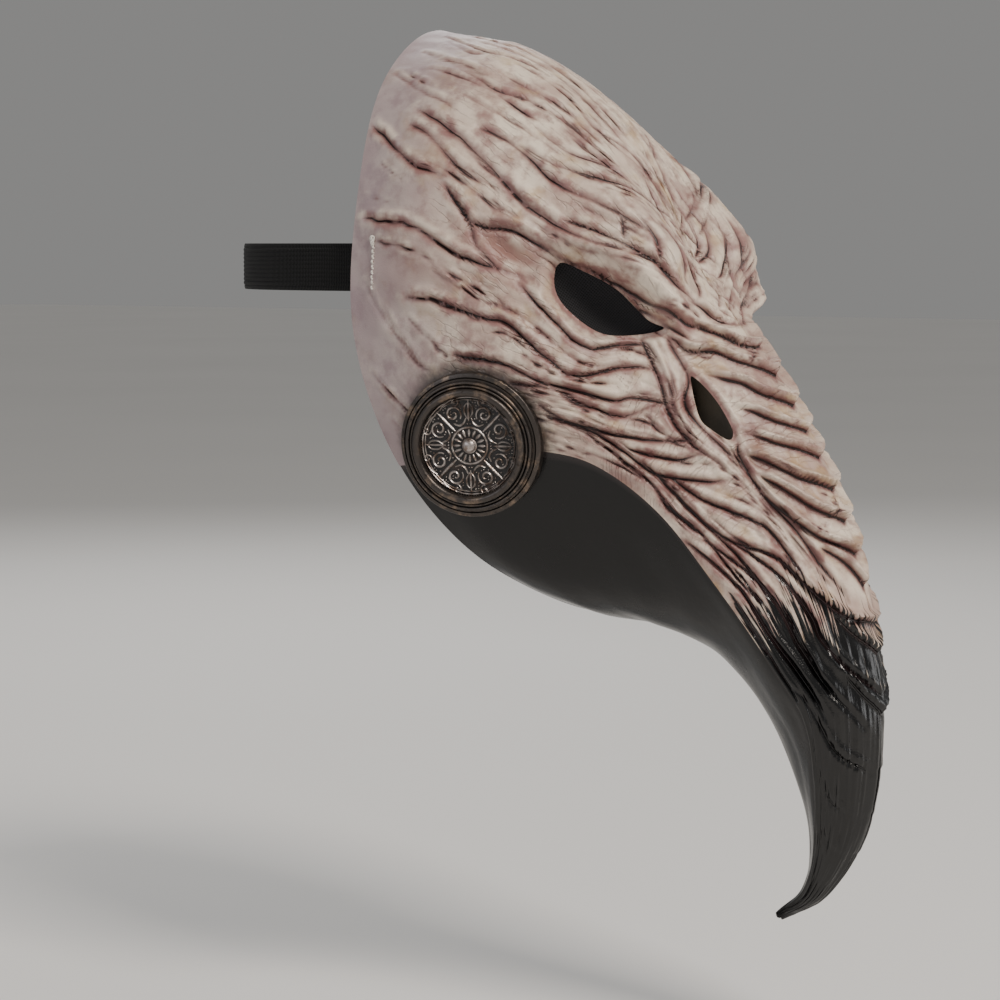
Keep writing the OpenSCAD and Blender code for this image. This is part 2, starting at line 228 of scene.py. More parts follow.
TEMPLE_FOLDS = [
    (1.3, 1.6, [(0.0, 1.55), (0.2, 1.65), (0.5, 1.8), (0.75, 1.9), (1.0, 1.9), (1.4, 1.85)]),
    (2.1, 1.8, [(1.2, 1.95), (1.5, 2.05), (1.7, 2.05), (2.1, 1.9), (2.65, 1.85)]),
    (1.7, 1.7, [(0.15, 2.3), (0.7, 2.33), (1.3, 2.38), (1.85, 2.3), (2.5, 2.15)]),
    (1.2, 1.5, [(1.55, 2.05), (1.75, 2.2), (2.05, 2.25)]),
    (0.6, 1.3, [(0.2, 2.7), (0.5, 3.0), (0.9, 3.25)]),
    (0.6, 1.3, [(0.4, 2.85), (0.75, 3.2), (1.1, 3.3)])]
CHEEK_FOLDS = [
    (2.0, 1.6, [(2.35, 2.25), (2.8, 2.35), (3.4, 2.45), (3.65, 2.35), (4.0, 2.0)]),
    (2.2, 1.7, [(0.75, 2.8), (1.4, 2.75), (2.1, 2.65), (2.4, 2.6), (3.0, 2.7), (3.55, 2.75), (4.2, 2.2)]),
    (1.9, 1.6, [(1.55, 3.1), (2.4, 2.95), (3.1, 2.95), (3.95, 2.9), (4.2, 2.7), (4.5, 2.45)]),
    (1.5, 1.4, [(2.6, 3.1), (3.2, 3.0), (3.7, 3.1), (4.2, 3.0), (4.5, 2.45)]),
    (1.9, 1.5, [(3.1, 3.3), (3.65, 3.5), (4.25, 3.35), (4.7, 2.95), (4.9, 2.65)]),
    (1.7, 1.4, [(4.3, 3.45), (4.55, 3.4), (4.95, 3.0), (5.1, 2.6)]),
    (2.0, 1.6, [(3.1, 3.45), (3.55, 3.5), (4.35, 3.55), (4.85, 3.5), (5.3, 2.9), (5.45, 2.5)]),
    (1.0, 1.2, [(4.45, 2.8), (4.6, 2.85), (4.8, 2.8)]),
    (0.9, 1.2, [(3.3, 2.6), (3.6, 2.6), (3.9, 2.45)])]
NOSE_FOLDS = [
    (2.0, 1.6, [(3.95, 1.95), (4.3, 2.2), (4.65, 2.55), (5.0, 2.6), (5.35, 2.4)]),
    (1.8, 1.5, [(4.1, 1.65), (4.5, 1.85), (4.65, 2.2), (4.9, 2.3), (5.3, 2.15)]),
    (0.7, 1.1, [(4.05, 1.8), (4.35, 2.0), (4.6, 2.3)])]
SIDE_FOLDS = [
    (2.2, 1.6, [(5.2, 1.85), (5.35, 2.0), (5.75, 2.0), (6.15, 1.65), (6.5, 1.35), (6.8, 0.9)]),
    (2.2, 1.6, [(4.9, 3.4), (5.4, 3.15), (5.9, 2.5), (6.05, 2.3), (6.6, 2.0)]),
    (2.0, 1.5, [(4.65, 3.5), (5.25, 3.5), (5.85, 3.2), (6.3, 2.45), (6.65, 2.1)]),
    (2.0, 1.5, [(5.1, 3.5), (5.45, 3.45), (6.05, 3.2), (6.55, 3.05)]),
    (1.7, 1.4, [(3.2, 3.45), (3.8, 3.6), (4.4, 3.7), (4.85, 3.7), (5.25, 3.75), (5.7, 3.55), (6.2, 3.5)]),
    (0.9, 1.1, [(3.85, 3.9), (4.2, 3.85), (4.75, 3.75)]),
    (1.3, 1.2, [(4.9, 3.7), (5.1, 3.8), (5.55, 3.65), (5.65, 3.45)]),
    (1.3, 1.2, [(5.65, 3.55), (6.05, 3.5), (6.45, 3.4)]),
    (2.0, 1.4, [(5.5, 3.95), (6.3, 3.55), (6.85, 3.5), (7.45, 3.2), (7.95, 2.7)]),
    (2.0, 1.4, [(5.7, 3.6), (6.55, 3.0), (7.15, 2.85), (7.7, 2.3), (8.1, 0.9)]),
    (2.0, 1.4, [(5.95, 3.1), (6.55, 2.5), (6.95, 2.2), (7.2, 2.1), (7.5, 1.5), (7.8, 0.2)]),
    (1.3, 1.2, [(6.25, 3.8), (6.9, 3.85), (7.6, 3.85)]),
    (1.4, 1.3, [(7.4, 3.8), (8.2, 2.6), (8.45, 0.95), (8.5, 0.05)]),
    (1.2, 1.3, [(8.3, 3.7), (8.7, 2.6), (8.9, 1.0), (8.9, 0.0)]),
    (0.9, 1.2, [(8.8, 3.6), (9.2, 2.4), (9.35, 0.8), (9.35, 0.0)])]
# The overlapping ribs across the beak: (step, reach towards the tip, points from the side to the ridge)
RIBS = [
    (2.2, 5.5, [(4.0, 1.4), (4.15, 1.1), (4.25, 0.85), (4.4, 0.5), (4.45, 0.0)]),
    (2.4, 6.0, [(4.05, 1.75), (4.3, 1.5), (4.4, 1.15), (4.55, 0.8), (4.75, 0.0)]),
    (2.5, 6.0, [(4.45, 1.8), (4.65, 1.3), (4.75, 1.0), (4.9, 0.7), (5.05, 0.0)]),
    (2.3, 5.5, [(4.85, 1.7), (5.0, 1.2), (5.1, 0.95), (5.2, 0.6), (5.3, 0.0)]),
    (2.3, 5.0, [(5.1, 1.8), (5.3, 1.2), (5.4, 0.8), (5.55, 0.0)]),
    (2.5, 5.5, [(5.3, 2.0), (5.45, 1.6), (5.7, 0.9), (5.85, 0.0)]),
    (2.5, 5.5, [(5.5, 2.0), (5.7, 1.6), (6.0, 0.85), (6.15, 0.0)]),
    (2.5, 5.0, [(5.45, 2.15), (5.9, 1.85), (6.25, 1.1), (6.45, 0.0)]),
    (2.2, 4.5, [(6.3, 1.4), (6.5, 0.6), (6.75, 0.0)]),
    (2.0, 4.5, [(6.15, 2.3), (6.6, 2.1), (7.0, 1.2), (7.1, 0.0)]),
    (1.8, 4.5, [(6.9, 1.7), (7.2, 0.9), (7.4, 0.0)]),
    (1.4, 4.5, [(7.5, 1.8), (7.8, 0.9), (8.0, 0.0)])]
# Rounded rolls that stand out: (height, half width, points)
ROLLS = [
    (11.0, 5.6, [(2.55, 1.72), (2.95, 1.58), (3.35, 1.48), (3.7, 1.4), (3.95, 1.28)]),
    (2.6, 3.8, [(4.0, 1.8), (4.3, 2.0), (4.55, 2.3), (4.8, 2.45), (5.1, 2.5), (5.3, 2.35)]),
    (1.8, 3.0, [(4.45, 1.7), (4.6, 2.05), (4.9, 2.2), (5.2, 2.05)]),
    (2.0, 4.0, [(2.65, 2.3), (3.0, 2.4), (3.5, 2.35), (3.95, 2.0)]),
    (1.8, 3.5, [(2.55, 1.95), (2.6, 2.15), (2.7, 2.3)]),
    (1.5, 4.5, [(1.5, 1.9), (1.9, 1.85), (2.4, 1.75)]),
    (1.6, 5.0, [(3.2, 3.15), (3.8, 3.25), (4.4, 3.2)]),
    (1.6, 4.0, [(5.3, 3.3), (5.8, 3.0), (6.2, 2.6)])]

# Openings, each as seen along its own direction: [across, up], then its centre and its turn
EYE = ([[-22, 5], [-20, 16], [-10, 13], [6, 4], [19, -9], [26, -13], [14, -16], [-2, -15], [-16, -5]],
       [48, -108, -22], 48)
NOSTRIL = ([[-9, 12], [-7, 13], [1, 5], [7, -4], [10, -11], [8, -14], [1, -10], [-5, -4]],
           [31, -153, -70], 60)
SEAT_CENTRE = [77, -56, -87]
SEAT_TURN = 72
SEAT_TIP = 97
BOSS_R = 33
SEAT_FRONT = 5
SEAT_BACK = 10
SEAT_R = BOSS_R - 0.3       # the shell's hole under a boss
SEAT_POINTS = 96
CUT_DEPTHS = (-25, 25)      # how far the cutting tools reach in and out


def seat_matrix(side):
    """From a medallion's own coordinates, +Z outwards, to the frame, in millimetres."""
    turn = Matrix.Rotation(math.radians(SEAT_TURN), 4, "Z")
    tip = Matrix.Rotation(math.radians(SEAT_TIP), 4, "X")
    return Matrix.Scale(side, 4, (1, 0, 0)) @ Matrix.Translation(SEAT_CENTRE) @ (turn @ tip)


def opening_axes(opening, side):
    """Centre, across, up and outward directions of an opening."""
    _, centre, turn = opening
    a = math.radians(turn)
    across = np.array([-math.cos(a), -math.sin(a), 0.0])
    out = np.array([math.sin(a), -math.cos(a), 0.0])
    mirror = np.array([side, 1, 1])
    return np.array(centre) * mirror, across * mirror, np.array([0, 0, 1.0]), out * mirror


def gap_to_outline(p, opening, side):
    """Distance in millimetres from points to an opening's edge, seen along its own direction."""
    centre, across, up, out = opening_axes(opening, side)
    rim = smooth_path(opening[0], 0.125, closed=True)
    q = np.stack([(p - centre) @ across, (p - centre) @ up], axis=-1)
    near = np.abs((p - centre) @ out) < 30
    far = np.full(len(p), 99.0)
    close = near & (np.abs(q) < 45).all(axis=1)
    far[close] = np.sqrt(((q[close, None] - rim[None]) ** 2).sum(-1)).min(1)
    return far


def flow_segments():
    """Places and directions of the main creases, which the fine ones follow."""
    places, ways = [], []
    for _, _, points in FOREHEAD + TEMPLE_FOLDS + CHEEK_FOLDS + NOSE_FOLDS + SIDE_FOLDS + RIBS:
        path = smooth_path(points)
        places.append((path[1:] + path[:-1]) / 2)
        ways.append(path[1:] - path[:-1])
    ways = np.concatenate(ways)
    return np.concatenate(places), ways / np.linalg.norm(ways, axis=1, keepdims=True)


def fine_creases(seed, count):
    """Short creases that follow the flow of the main ones."""
    chance = random.Random(seed)
    places, ways = flow_segments()
    made = []
    for _ in range(count):
        u = chance.uniform(0.05, 6.6)
        v = chance.uniform(0.05, 3.95)
        if u > 4 and v < 2.2 and chance.random() < 0.75:
            continue
        length = chance.uniform(0.4, 1.5)
        points = [(u, v)]
        for _ in range(6):
            here = np.array(points[-1])
            weight = 1 / (((places - here) ** 2).sum(1) + 0.01) ** 2
            way = (weight[:, None] * ways).sum(0)
            way = way / (np.linalg.norm(way) + 1e-9)
            points.append(tuple(here + way * length / 6))
        depth = chance.uniform(0.3, 0.95)
        made.append((depth, chance.uniform(0.8, 1.25), points))
    return made


def near_path(p, path, reach):
    """Which points are within reach of a path, how far they are from it, and where along it they are."""
    close = ((p > path.min(0) - reach) & (p < path.max(0) + reach)).all(axis=1).nonzero()[0]
    if not len(close):
        return close, np.zeros(0), np.zeros(0, int)
    k = ((p[close, None] - path[None]) ** 2).sum(-1).argmin(1)
    d = np.full(len(close), np.inf)
    for first in (np.clip(k - 1, 0, len(path) - 2), np.clip(k, 0, len(path) - 2)):
        start, run = path[first], path[first + 1] - path[first]
        share = ((p[close] - start) * run).sum(1) / (run ** 2).sum(1)
        foot = start + np.clip(share, 0, 1)[:, None] * run
        d = np.minimum(d, np.linalg.norm(p[close] - foot, axis=1))
    keep = d < reach
    return close[keep], d[keep], k[keep]


def path_on_shell(points, side, seed):
    """A crease's points on the shell, with a slight waver. The two sides differ a little."""
    path = smooth_path(points, 0.08)
    u, v = path[:, 0], np.abs(path[:, 1])
    if side > 0:
        u = u + 0.05 * np.sin(3 * v + 1) * ramp(v, 0.1, 0.8)
        v = v + 0.05 * np.sin(2.3 * u) * ramp(v, 0.1, 0.8)
    where = np.stack([u * 9, v * 9, np.full(len(u), seed % 97 + 0.5)], axis=1)
    waver = lattice_noise(where, seed)
    v = np.abs(v + 0.012 * waver * ramp(v, 0.05, 0.4))
    return bare(np.clip(u, 0, LAST_RING), np.clip(v, 0, SEAM_LINE), side)


def carve(u, v, side):
    """The hide's relief at points of the shell: its height, and marks for the paint to follow.

    The marks say how deep in a crease a point is, how high on a fold, how stained round the creases and how
    shaded round the eye and nostril (painted shade), how far from the nearest crease, on which side of it,
    and how strong that crease is."""
    p = bare(u, v, side)
    n = outward(u, v, side)
    height = hump(u, v, FORMS) + hump(u, v, DETAIL_FORMS)
    cut = np.zeros(len(u))
    lips = np.zeros(len(u))
    cavity = np.zeros(len(u))
    stain_and_shade = np.zeros(len(u))
    ribs = np.zeros(len(u))
    nearest, beside, strong = np.full(len(u), 9.0), np.full(len(u), 9.0), np.zeros(len(u))
    seed = 10 if side < 0 else 500
    main = FOREHEAD + BROW + TEMPLE_FOLDS + CHEEK_FOLDS + NOSE_FOLDS + SIDE_FOLDS
    fine = fine_creases(seed, FINE_CREASES)
    for number, (depth, width, points) in enumerate(main + fine):
        path = path_on_shell(points, side, seed + number)
        close, d, k = near_path(p, path, 5 * width)
        share = k / (len(path) - 1)
        taper = np.clip(np.sin(np.pi * np.clip(share * 0.94 + 0.03, 0, 1)), 0, 1) ** 0.45
        pulse = 0.8 + 0.3 * np.sin(share * len(path) * 0.21 + number)
        deep = 1.35 * depth * taper * pulse
        cut[close] = np.minimum(cut[close], -deep * np.exp(-(d / (0.62 * width)) ** 2))
        tangent = np.gradient(path, axis=0)[k]
        above = np.einsum("ij,ij->i", p[close] - path[k], np.cross(tangent, n[close])) * side > 0
        lip = np.where(above, 0.65, 0.22) * deep * np.exp(-((d - 1.9 * width) / (1.2 * width)) ** 2)
        lips[close] = np.maximum(lips[close], lip)
        closer = d < nearest[close]
        nearest[close[closer]] = d[closer]
        beside[close[closer]] = np.where(above, d, -d)[closer]
        strong[close[closer]] = np.clip(deep / 1.7, 0, 1)[closer]
        near = np.clip(deep / 1.6, 0, 1) * np.exp(-(d / (2.3 * width)) ** 2)
        stain_and_shade[close] = np.maximum(stain_and_shade[close], near)
        dark = np.clip(deep / 1.5, 0, 1) * np.exp(-(d / (0.75 * width)) ** 2)
        cavity[close] = np.maximum(cavity[close], dark)
    for high, width, points in ROLLS:
        path = path_on_shell(points, side, seed)
        close, d, k = near_path(p, path, 3 * width)
        taper = np.sin(np.pi * np.clip(k / (len(path) - 1) * 0.8 + 0.1, 0, 1)) ** 0.6
        height[close] += high * taper * np.exp(-(d / width) ** 2)
    for number, (step, reach, points) in enumerate(RIBS):
        path = path_on_shell(points, side, seed + 900 + number)
        close, d, k = near_path(p, path, 3.2 * reach)
        tangent = np.gradient(path, axis=0)[k]
        towards_tip = np.einsum("ij,ij->i", p[close] - path[k], np.cross(n[close], tangent)) * side
        signed = np.where(towards_tip > 0, d, -d)
        share = k / (len(path) - 1)
        taper = ramp(share, 0.0, 0.35)
        sunk = np.where(signed > 0, np.exp(-signed / reach), np.exp(-(signed / 0.9) ** 2))
        lip = np.where(signed > 0, 0, 0.8 * np.exp(-((signed + 2.2) / 2.0) ** 2))
        ribs[close] += 1.8 * step * taper * (lip - 0.6 * sunk)
        dark = taper * np.where(signed > 0, np.exp(-signed / 1.5), np.exp(-(signed / 0.8) ** 2))
        cavity[close] = np.maximum(cavity[close], dark * step / 2.5)
        closer = d < nearest[close]
        nearest[close[closer]] = d[closer]
        beside[close[closer]] = signed[closer]
        strong[close[closer]] = taper[closer]
        band = taper * np.where(signed > 0, np.exp(-signed / (0.45 * reach)), np.exp(-(signed / 0.8) ** 2))
        stain_and_shade[close] = np.maximum(stain_and_shade[close], band)
    eye_gap = gap_to_outline(p, EYE, side)
    nostril_gap = gap_to_outline(p, NOSTRIL, side)
    height += -1.6 * np.exp(-(eye_gap / 1.6) ** 2) - 1.2 * np.exp(-(nostril_gap / 1.3) ** 2)
    height += 0.9 * np.exp(-((nostril_gap - 3.2) / 1.6) ** 2)
    ripple = lattice_noise(np.stack([u * 2.2, v * 9, u * 0 + side], axis=1), 3)
    grain = lattice_noise(p / 3.1, 5)
    fade = 1 - 0.75 * ramp(u, 7.5, 9.5)
    relief = (cut + lips * (1 - cavity)) * fade + ribs + 0.35 * ripple + 0.10 * grain
    relief = np.where(relief < 0, -DEEPEST * np.tanh(-relief / DEEPEST), relief)
    edge = ramp(u, 0, 0.12) * ramp(SEAM_LINE - v, 0, 0.08)
    height = height + relief * edge
    cavity = cavity * fade
    # Painted shade round the eye and the nostril, kept in the same mark as the staining round the creases
    shade = 0.9 * np.exp(-(eye_gap / 3.2) ** 2) + 0.9 * np.exp(-(nostril_gap / 2.5) ** 2)
    crest = np.clip(lips / 0.6, 0, 1) * (1 - cavity)
    marks = {"cavity": cavity, "crest": crest, "stain_and_shade": np.maximum(stain_and_shade, np.clip(shade, 0, 1)),
             "nearest": nearest, "beside": beside, "strong": strong * fade}
    return height, marks


# ---------------------------------------------------------------- mesh helpers
def new_piece(name, points, faces):
    """A mesh object from points in millimetres, with faces pointing as listed."""
    mesh = bpy.data.meshes.new(name)
    mesh.from_pydata((np.asarray(points) * MM).tolist(), [], faces)
    piece = bpy.data.objects.new(name, mesh)
    bpy.context.scene.collection.objects.link(piece)
    return piece


def make_active(piece):
    """Only this piece is selected and active."""
    bpy.ops.object.select_all(action="DESELECT")
    piece.select_set(True)
    bpy.context.view_layer.objects.active = piece


def apply_all(piece):
    """Applies every modifier in order."""
    make_active(piece)
    for modifier in list(piece.modifiers):
        bpy.ops.object.modifier_apply(modifier=modifier.name)


def smooth(piece, degrees):
    """Smooth shading, with edges sharper than an angle kept crisp."""
    make_active(piece)
    bpy.ops.object.shade_smooth_by_angle(angle=math.radians(degrees))


def fix_outward(piece, weld=False):
    """Turns every face of closed solids outwards, and first joins points that lie together if asked."""
    make_active(piece)
    bpy.ops.object.mode_set(mode="EDIT")
    bpy.ops.mesh.select_all(action="SELECT")
    if weld:
        bpy.ops.mesh.remove_doubles(threshold=1e-6)
    bpy.ops.mesh.normals_make_consistent(inside=False)
    bpy.ops.object.mode_set(mode="OBJECT")


def lay_flat(piece, name, places):
    """Gives every corner the flat place of its vertex, in metres, as a UV map."""
    layer = piece.data.uv_layers.new(name=name)
    corners = np.zeros(len(piece.data.loops), int)
    piece.data.loops.foreach_get("vertex_index", corners)
    layer.data.foreach_set("uv", places[corners].astype(np.float32).ravel())


def paint(piece, name, values):
    """Stores one number for each vertex, for the materials to read."""
    layer = piece.data.attributes.get(name) or piece.data.attributes.new(name, "FLOAT", "POINT")
    layer.data.foreach_set("value", np.asarray(values, np.float32))


def grid_faces(rows, cols, first, flip):
    """Quads of a grid of points."""
    i, j = np.meshgrid(np.arange(rows - 1), np.arange(cols - 1), indexing="ij")
    a = (first + i * cols + j).ravel()
    quads = np.stack([a, a + cols, a + cols + 1, a + 1], axis=1)
    return (quads[:, ::-1] if flip else quads).tolist()


def wall_faces(outer_edge, inner_edge, share, flip):
    """Faces between a fine edge and a coarse one, which has a point at each share-th fine point."""
    faces = []
    for k in range(len(inner_edge) - 1):
        fine = list(outer_edge[k * share:(k + 1) * share + 1])
        face = fine + [inner_edge[k + 1], inner_edge[k]]
        faces.append(face[::-1] if flip else face)
    return faces


def shell_piece(name, us, vs, share, side, surface, lining):
    """A closed shell: a fine outer surface, a coarse lining, and walls round the edge."""
    rows, cols = len(us), len(vs)
    u, v = (x.ravel() for x in np.meshgrid(us, vs, indexing="ij"))
    outer = surface(u, v)
    u_in, v_in = (x.ravel() for x in np.meshgrid(us[::share], vs[::share], indexing="ij"))
    inner = lining(u_in, v_in)
    in_rows, in_cols = len(us[::share]), len(vs[::share])
    flip = side > 0
    first = rows * cols
    faces = grid_faces(rows, cols, 0, not flip) + grid_faces(in_rows, in_cols, first, flip)
    grid = np.arange(first).reshape(rows, cols)
    grid_in = first + np.arange(in_rows * in_cols).reshape(in_rows, in_cols)
    faces += wall_faces(grid[0], grid_in[0], share, flip)
    faces += wall_faces(grid[-1], grid_in[-1], share, not flip)
    faces += wall_faces(grid[:, 0], grid_in[:, 0], share, not flip)
    faces += wall_faces(grid[:, -1], grid_in[:, -1], share, flip)
    piece = new_piece(name, np.concatenate([outer, inner]), faces)
    grid_places = np.concatenate([np.stack([u, v], 1), np.stack([u_in, v_in], 1)])
    lay_flat(piece, "shell_uv", grid_places * [RING_STEP * MM, LINE_STEP * MM])
    paint(piece, "lining", np.concatenate([np.zeros(first), np.ones(len(inner))]))
    return piece, u, v


def cutter(openings, side):
    """One solid that holds an opening's prism, or a medallion's seat, to cut out of a shell."""
    prisms = []
    for opening in openings:
        rim = smooth_path(opening[0], 0.125, closed=True)
        centre, across, up, out = opening_axes(opening, side)
        prisms.append([[centre + across * x + up * z + out * depth for x, z in rim] for depth in CUT_DEPTHS])
    seat = seat_matrix(side)
    turns = [2 * math.pi * k / SEAT_POINTS for k in range(SEAT_POINTS)]
    ring = [(SEAT_R * math.cos(a), SEAT_R * math.sin(a)) for a in turns]
    prisms.append([[np.array(seat @ Vector((x, y, depth))) for x, y in ring] for depth in CUT_DEPTHS])
    points, faces = [], []
    for low, high in prisms:
        first, n = len(points), len(low)
        points += low + high
        faces.append(list(range(first, first + n)))
        faces.append(list(range(first + 2 * n - 1, first + n - 1, -1)))
        faces += [[first + k, first + n + k, first + n + (k + 1) % n, first + (k + 1) % n] for k in range(n)]
    tool = new_piece("cutter", points, faces)
    fix_outward(tool)
    return tool


# Marks that the hide's paint reads. Only vertices with a full "known" mark were there before a cut.
HIDE_MARKS = ("cavity", "crest", "stain_and_shade", "nearest", "beside", "strong", "tip", "soot", "rim_tint", "blush")
PAINTED = HIDE_MARKS + ("lining", "known")


def cut_out(piece, tool):
    """Cuts the tool out of a shell and gives the new edge the paint of its neighbours."""
    modifier = piece.modifiers.new("openings", "BOOLEAN")
    modifier.operation = "DIFFERENCE"
    modifier.solver = "EXACT"
    modifier.object = tool
    apply_all(piece)
    mesh = piece.data
    # The solver can leave an end of the tool standing clear of the wall, so its corners are removed
    corners = KDTree(len(tool.data.vertices))
    for vertex in tool.data.vertices:
        corners.insert(vertex.co, vertex.index)
    corners.balance()
    edited = bmesh.new()
    edited.from_mesh(mesh)
    stray = [vertex for vertex in edited.verts if corners.find(vertex.co)[2] < 1e-5]
    bmesh.ops.delete(edited, geom=stray, context="VERTS")
    edited.to_mesh(mesh)
    edited.free()
    count = len(mesh.vertices)
    place = np.zeros(count * 3, np.float32)
    mesh.vertices.foreach_get("co", place)
    place = place.reshape(-1, 3)
    layers = {name: mesh.attributes.get(name) for name in PAINTED}
    layers = {name: layer for name, layer in layers.items() if layer}
    values = {name: np.zeros(count, np.float32) for name in layers}
    for name, layer in layers.items():
        layer.data.foreach_get("value", values[name])
    known = values["known"] > 0.999
    tree = KDTree(int(known.sum()))
    for index in known.nonzero()[0]:
        tree.insert(place[index], int(index))
    tree.balance()
    for index in (~known).nonzero()[0]:
        _, match, _ = tree.find(place[index])
        for name in values:
            values[name][index] = values[name][match]
    for name, layer in layers.items():
        layer.data.foreach_set("value", values[name])


# ---------------------------------------------------------------- the hide
HEAD_RINGS = 365
TIP_RINGS = 110
TIP_START = 7
HIDE_LINES = 185
LINING_SHARE = 5    # the lining has one point for each of this many on the hide
# For each v, the u where the tip turns black
BLACK_FROM = ([0, 1.4, 2.2, 3, 4], [7.15, 6.85, 6.6, 6.45, 6.4])
BLUSHES = [[2.1, 2.1, 0.5, 0.22, 1.0], [1.0, 2.5, 0.6, 0.3, 0.5], [1.2, 1.7, 0.5, 0.2, 0.5]]  # as in FORMS


def ring_places():
    """Rings of the hide, closer together on the head than on the smoother tip."""
    head = np.linspace(0, TIP_START, HEAD_RINGS, endpoint=False)
    return np.concatenate([head, np.linspace(TIP_START, LAST_RING, TIP_RINGS + 1)])


def soot_at(p, side):
    """How near points are to the medallion, in millimetres from its axis."""
    back = np.array(seat_matrix(side).inverted())
    local = p @ back[:3, :3].T + back[:3, 3]
    return np.linalg.norm(local[:, :2], axis=1)


def hide(side_name):
    side = SIDES[side_name]
    us, vs = ring_places(), np.linspace(0, SEAM_LINE, HIDE_LINES + 1)
    found = {}

    def surface(u, v):
        height, marks = carve(u, v, side)
        found.update(marks)
        return bare(u, v, side) + height[:, None] * outward(u, v, side)

    def lining(u, v):
        height = hump(u, v, FORMS) + hump(u, v, DETAIL_FORMS) - wall_at(u)
        return bare(u, v, side) + height[:, None] * outward(u, v, side)

    piece, u, v = shell_piece("hide_" + side_name, us, vs, LINING_SHARE, side, surface, lining)
    extra = len(piece.data.vertices) - len(u)
    p = bare(u, v, side)
    inside = np.zeros(extra)
    for name, values in found.items():
        paint(piece, name, np.concatenate([values, inside]))
    # The black of the tip starts nearer the tip on the ridge than at the seam
    start = np.interp(v, *BLACK_FROM)
    paint(piece, "tip", np.concatenate([u - start, inside]))
    paint(piece, "soot", np.concatenate([soot_at(p, side), inside + 99]))
    paint(piece, "rim_tint", np.concatenate([1 - ramp(u, 0.1, 1.1 + 0.3 * v), inside]))
    paint(piece, "blush", np.concatenate([hump(u, v, BLUSHES), inside]))
    paint(piece, "known", np.ones(len(u) + extra))
    tool = cutter([EYE, NOSTRIL], side)
    cut_out(piece, tool)
    bpy.data.objects.remove(tool)
    smooth(piece, CREASE_ANGLE)
    level_midline(piece)
    return piece


def level_midline(piece):
    """Turns the normals along the midline into its plane, so that the two halves shade as one."""
    mesh = piece.data
    normals = np.zeros(len(mesh.loops) * 3, np.float32)
    mesh.corner_normals.foreach_get("vector", normals)
    normals = normals.reshape(-1, 3)
    corners = np.zeros(len(mesh.loops), int)
    mesh.loops.foreach_get("vertex_index", corners)
    place = np.zeros(len(mesh.vertices) * 3, np.float32)
    mesh.vertices.foreach_get("co", place)
    middle = np.abs(place.reshape(-1, 3)[corners, 0]) < 1e-6
    level = middle & (np.abs(normals[:, 0]) < 0.8)
    normals[level, 0] = 0
    normals /= np.linalg.norm(normals, axis=1, keepdims=True)
    mesh.normals_split_custom_set(normals.tolist())


hides = {name: hide(name) for name in SIDES}


# ---------------------------------------------------------------- the smooth underside
KEEL_TWICE = 2 * KEEL_LINE
JAW_RINGS = 275
JAW_LINES = 100
LIP_STEP = 0.5      # how far the underside lies below the edge of the hide


def jaw():
    """The underside from seam to seam, as one smooth shell."""
    def surface_at(u, v, sunk):
        left = v <= KEEL_LINE
        w = np.where(left, v, KEEL_TWICE - v)
        p = np.zeros((len(u), 3))
        for side, chosen in ((1, left), (-1, ~left)):
            n = outward(u[chosen], w[chosen], side)
            p[chosen] = bare(u[chosen], w[chosen], side) + (hump(u, w, FORMS) - sunk)[chosen, None] * n
        return p

    def surface(u, v):
        edge = np.minimum(v - SEAM_LINE, KEEL_TWICE - SEAM_LINE - v)
        fold = lattice_noise(np.stack([u * 1.3, v * 2.2, u * 0], 1), 21) * ramp(edge, 0.05, 0.5)
        return surface_at(u, v, LIP_STEP - 0.5 * fold)

    def lining(u, v):
        return surface_at(u, v, wall_at(u))

    us = np.linspace(0, LAST_RING, JAW_RINGS + 1)
    vs = np.linspace(SEAM_LINE, KEEL_TWICE - SEAM_LINE, JAW_LINES + 1)
    piece, u, v = shell_piece("jaw_underside", us, vs, LINING_SHARE, 1, surface, lining)
    extra = len(piece.data.vertices) - len(u)
    edge = np.minimum(v - SEAM_LINE, KEEL_TWICE - SEAM_LINE - v)
    paint(piece, "seam_edge", np.concatenate([1 - ramp(edge, 0.01, 0.07), np.zeros(extra)]))
    paint(piece, "known", np.ones(len(u) + extra))
    for side in SIDES.values():
        tool = cutter([], side)
        cut_out(piece, tool)
        bpy.data.objects.remove(tool)
    smooth(piece, CREASE_ANGLE)
    return piece


# ---------------------------------------------------------------- turned, swept and bent pieces
def placed(name, points, faces, side):
    """A piece made in a medallion's own coordinates, put on its seat."""
    seat = np.array(seat_matrix(side))
    points = np.asarray(points, float) @ seat[:3, :3].T + seat[:3, 3]
    if side < 0:
        faces = [face[::-1] for face in faces]
    return new_piece(name, points, faces)


def turned(name, profile, side, segments, closed):
    """A turned piece from its half section, [radius, height], drawn so that its outside is on the right."""
    profile = np.array(profile, float)
    rows = len(profile)
    points, faces = [], []
    for k in range(segments):
        a = 2 * math.pi * k / segments
        points += [(r * math.cos(a), r * math.sin(a), z) for r, z in profile]
    for k in range(segments):
        first, after = k * rows, (k + 1) % segments * rows
        for i in range(rows if closed else rows - 1):
            j = (i + 1) % rows
            faces.append([first + i, after + i, after + j, first + j])
    piece = placed(name, points, faces, side)
    fix_outward(piece, weld=True)
    smooth(piece, 40)
    return piece


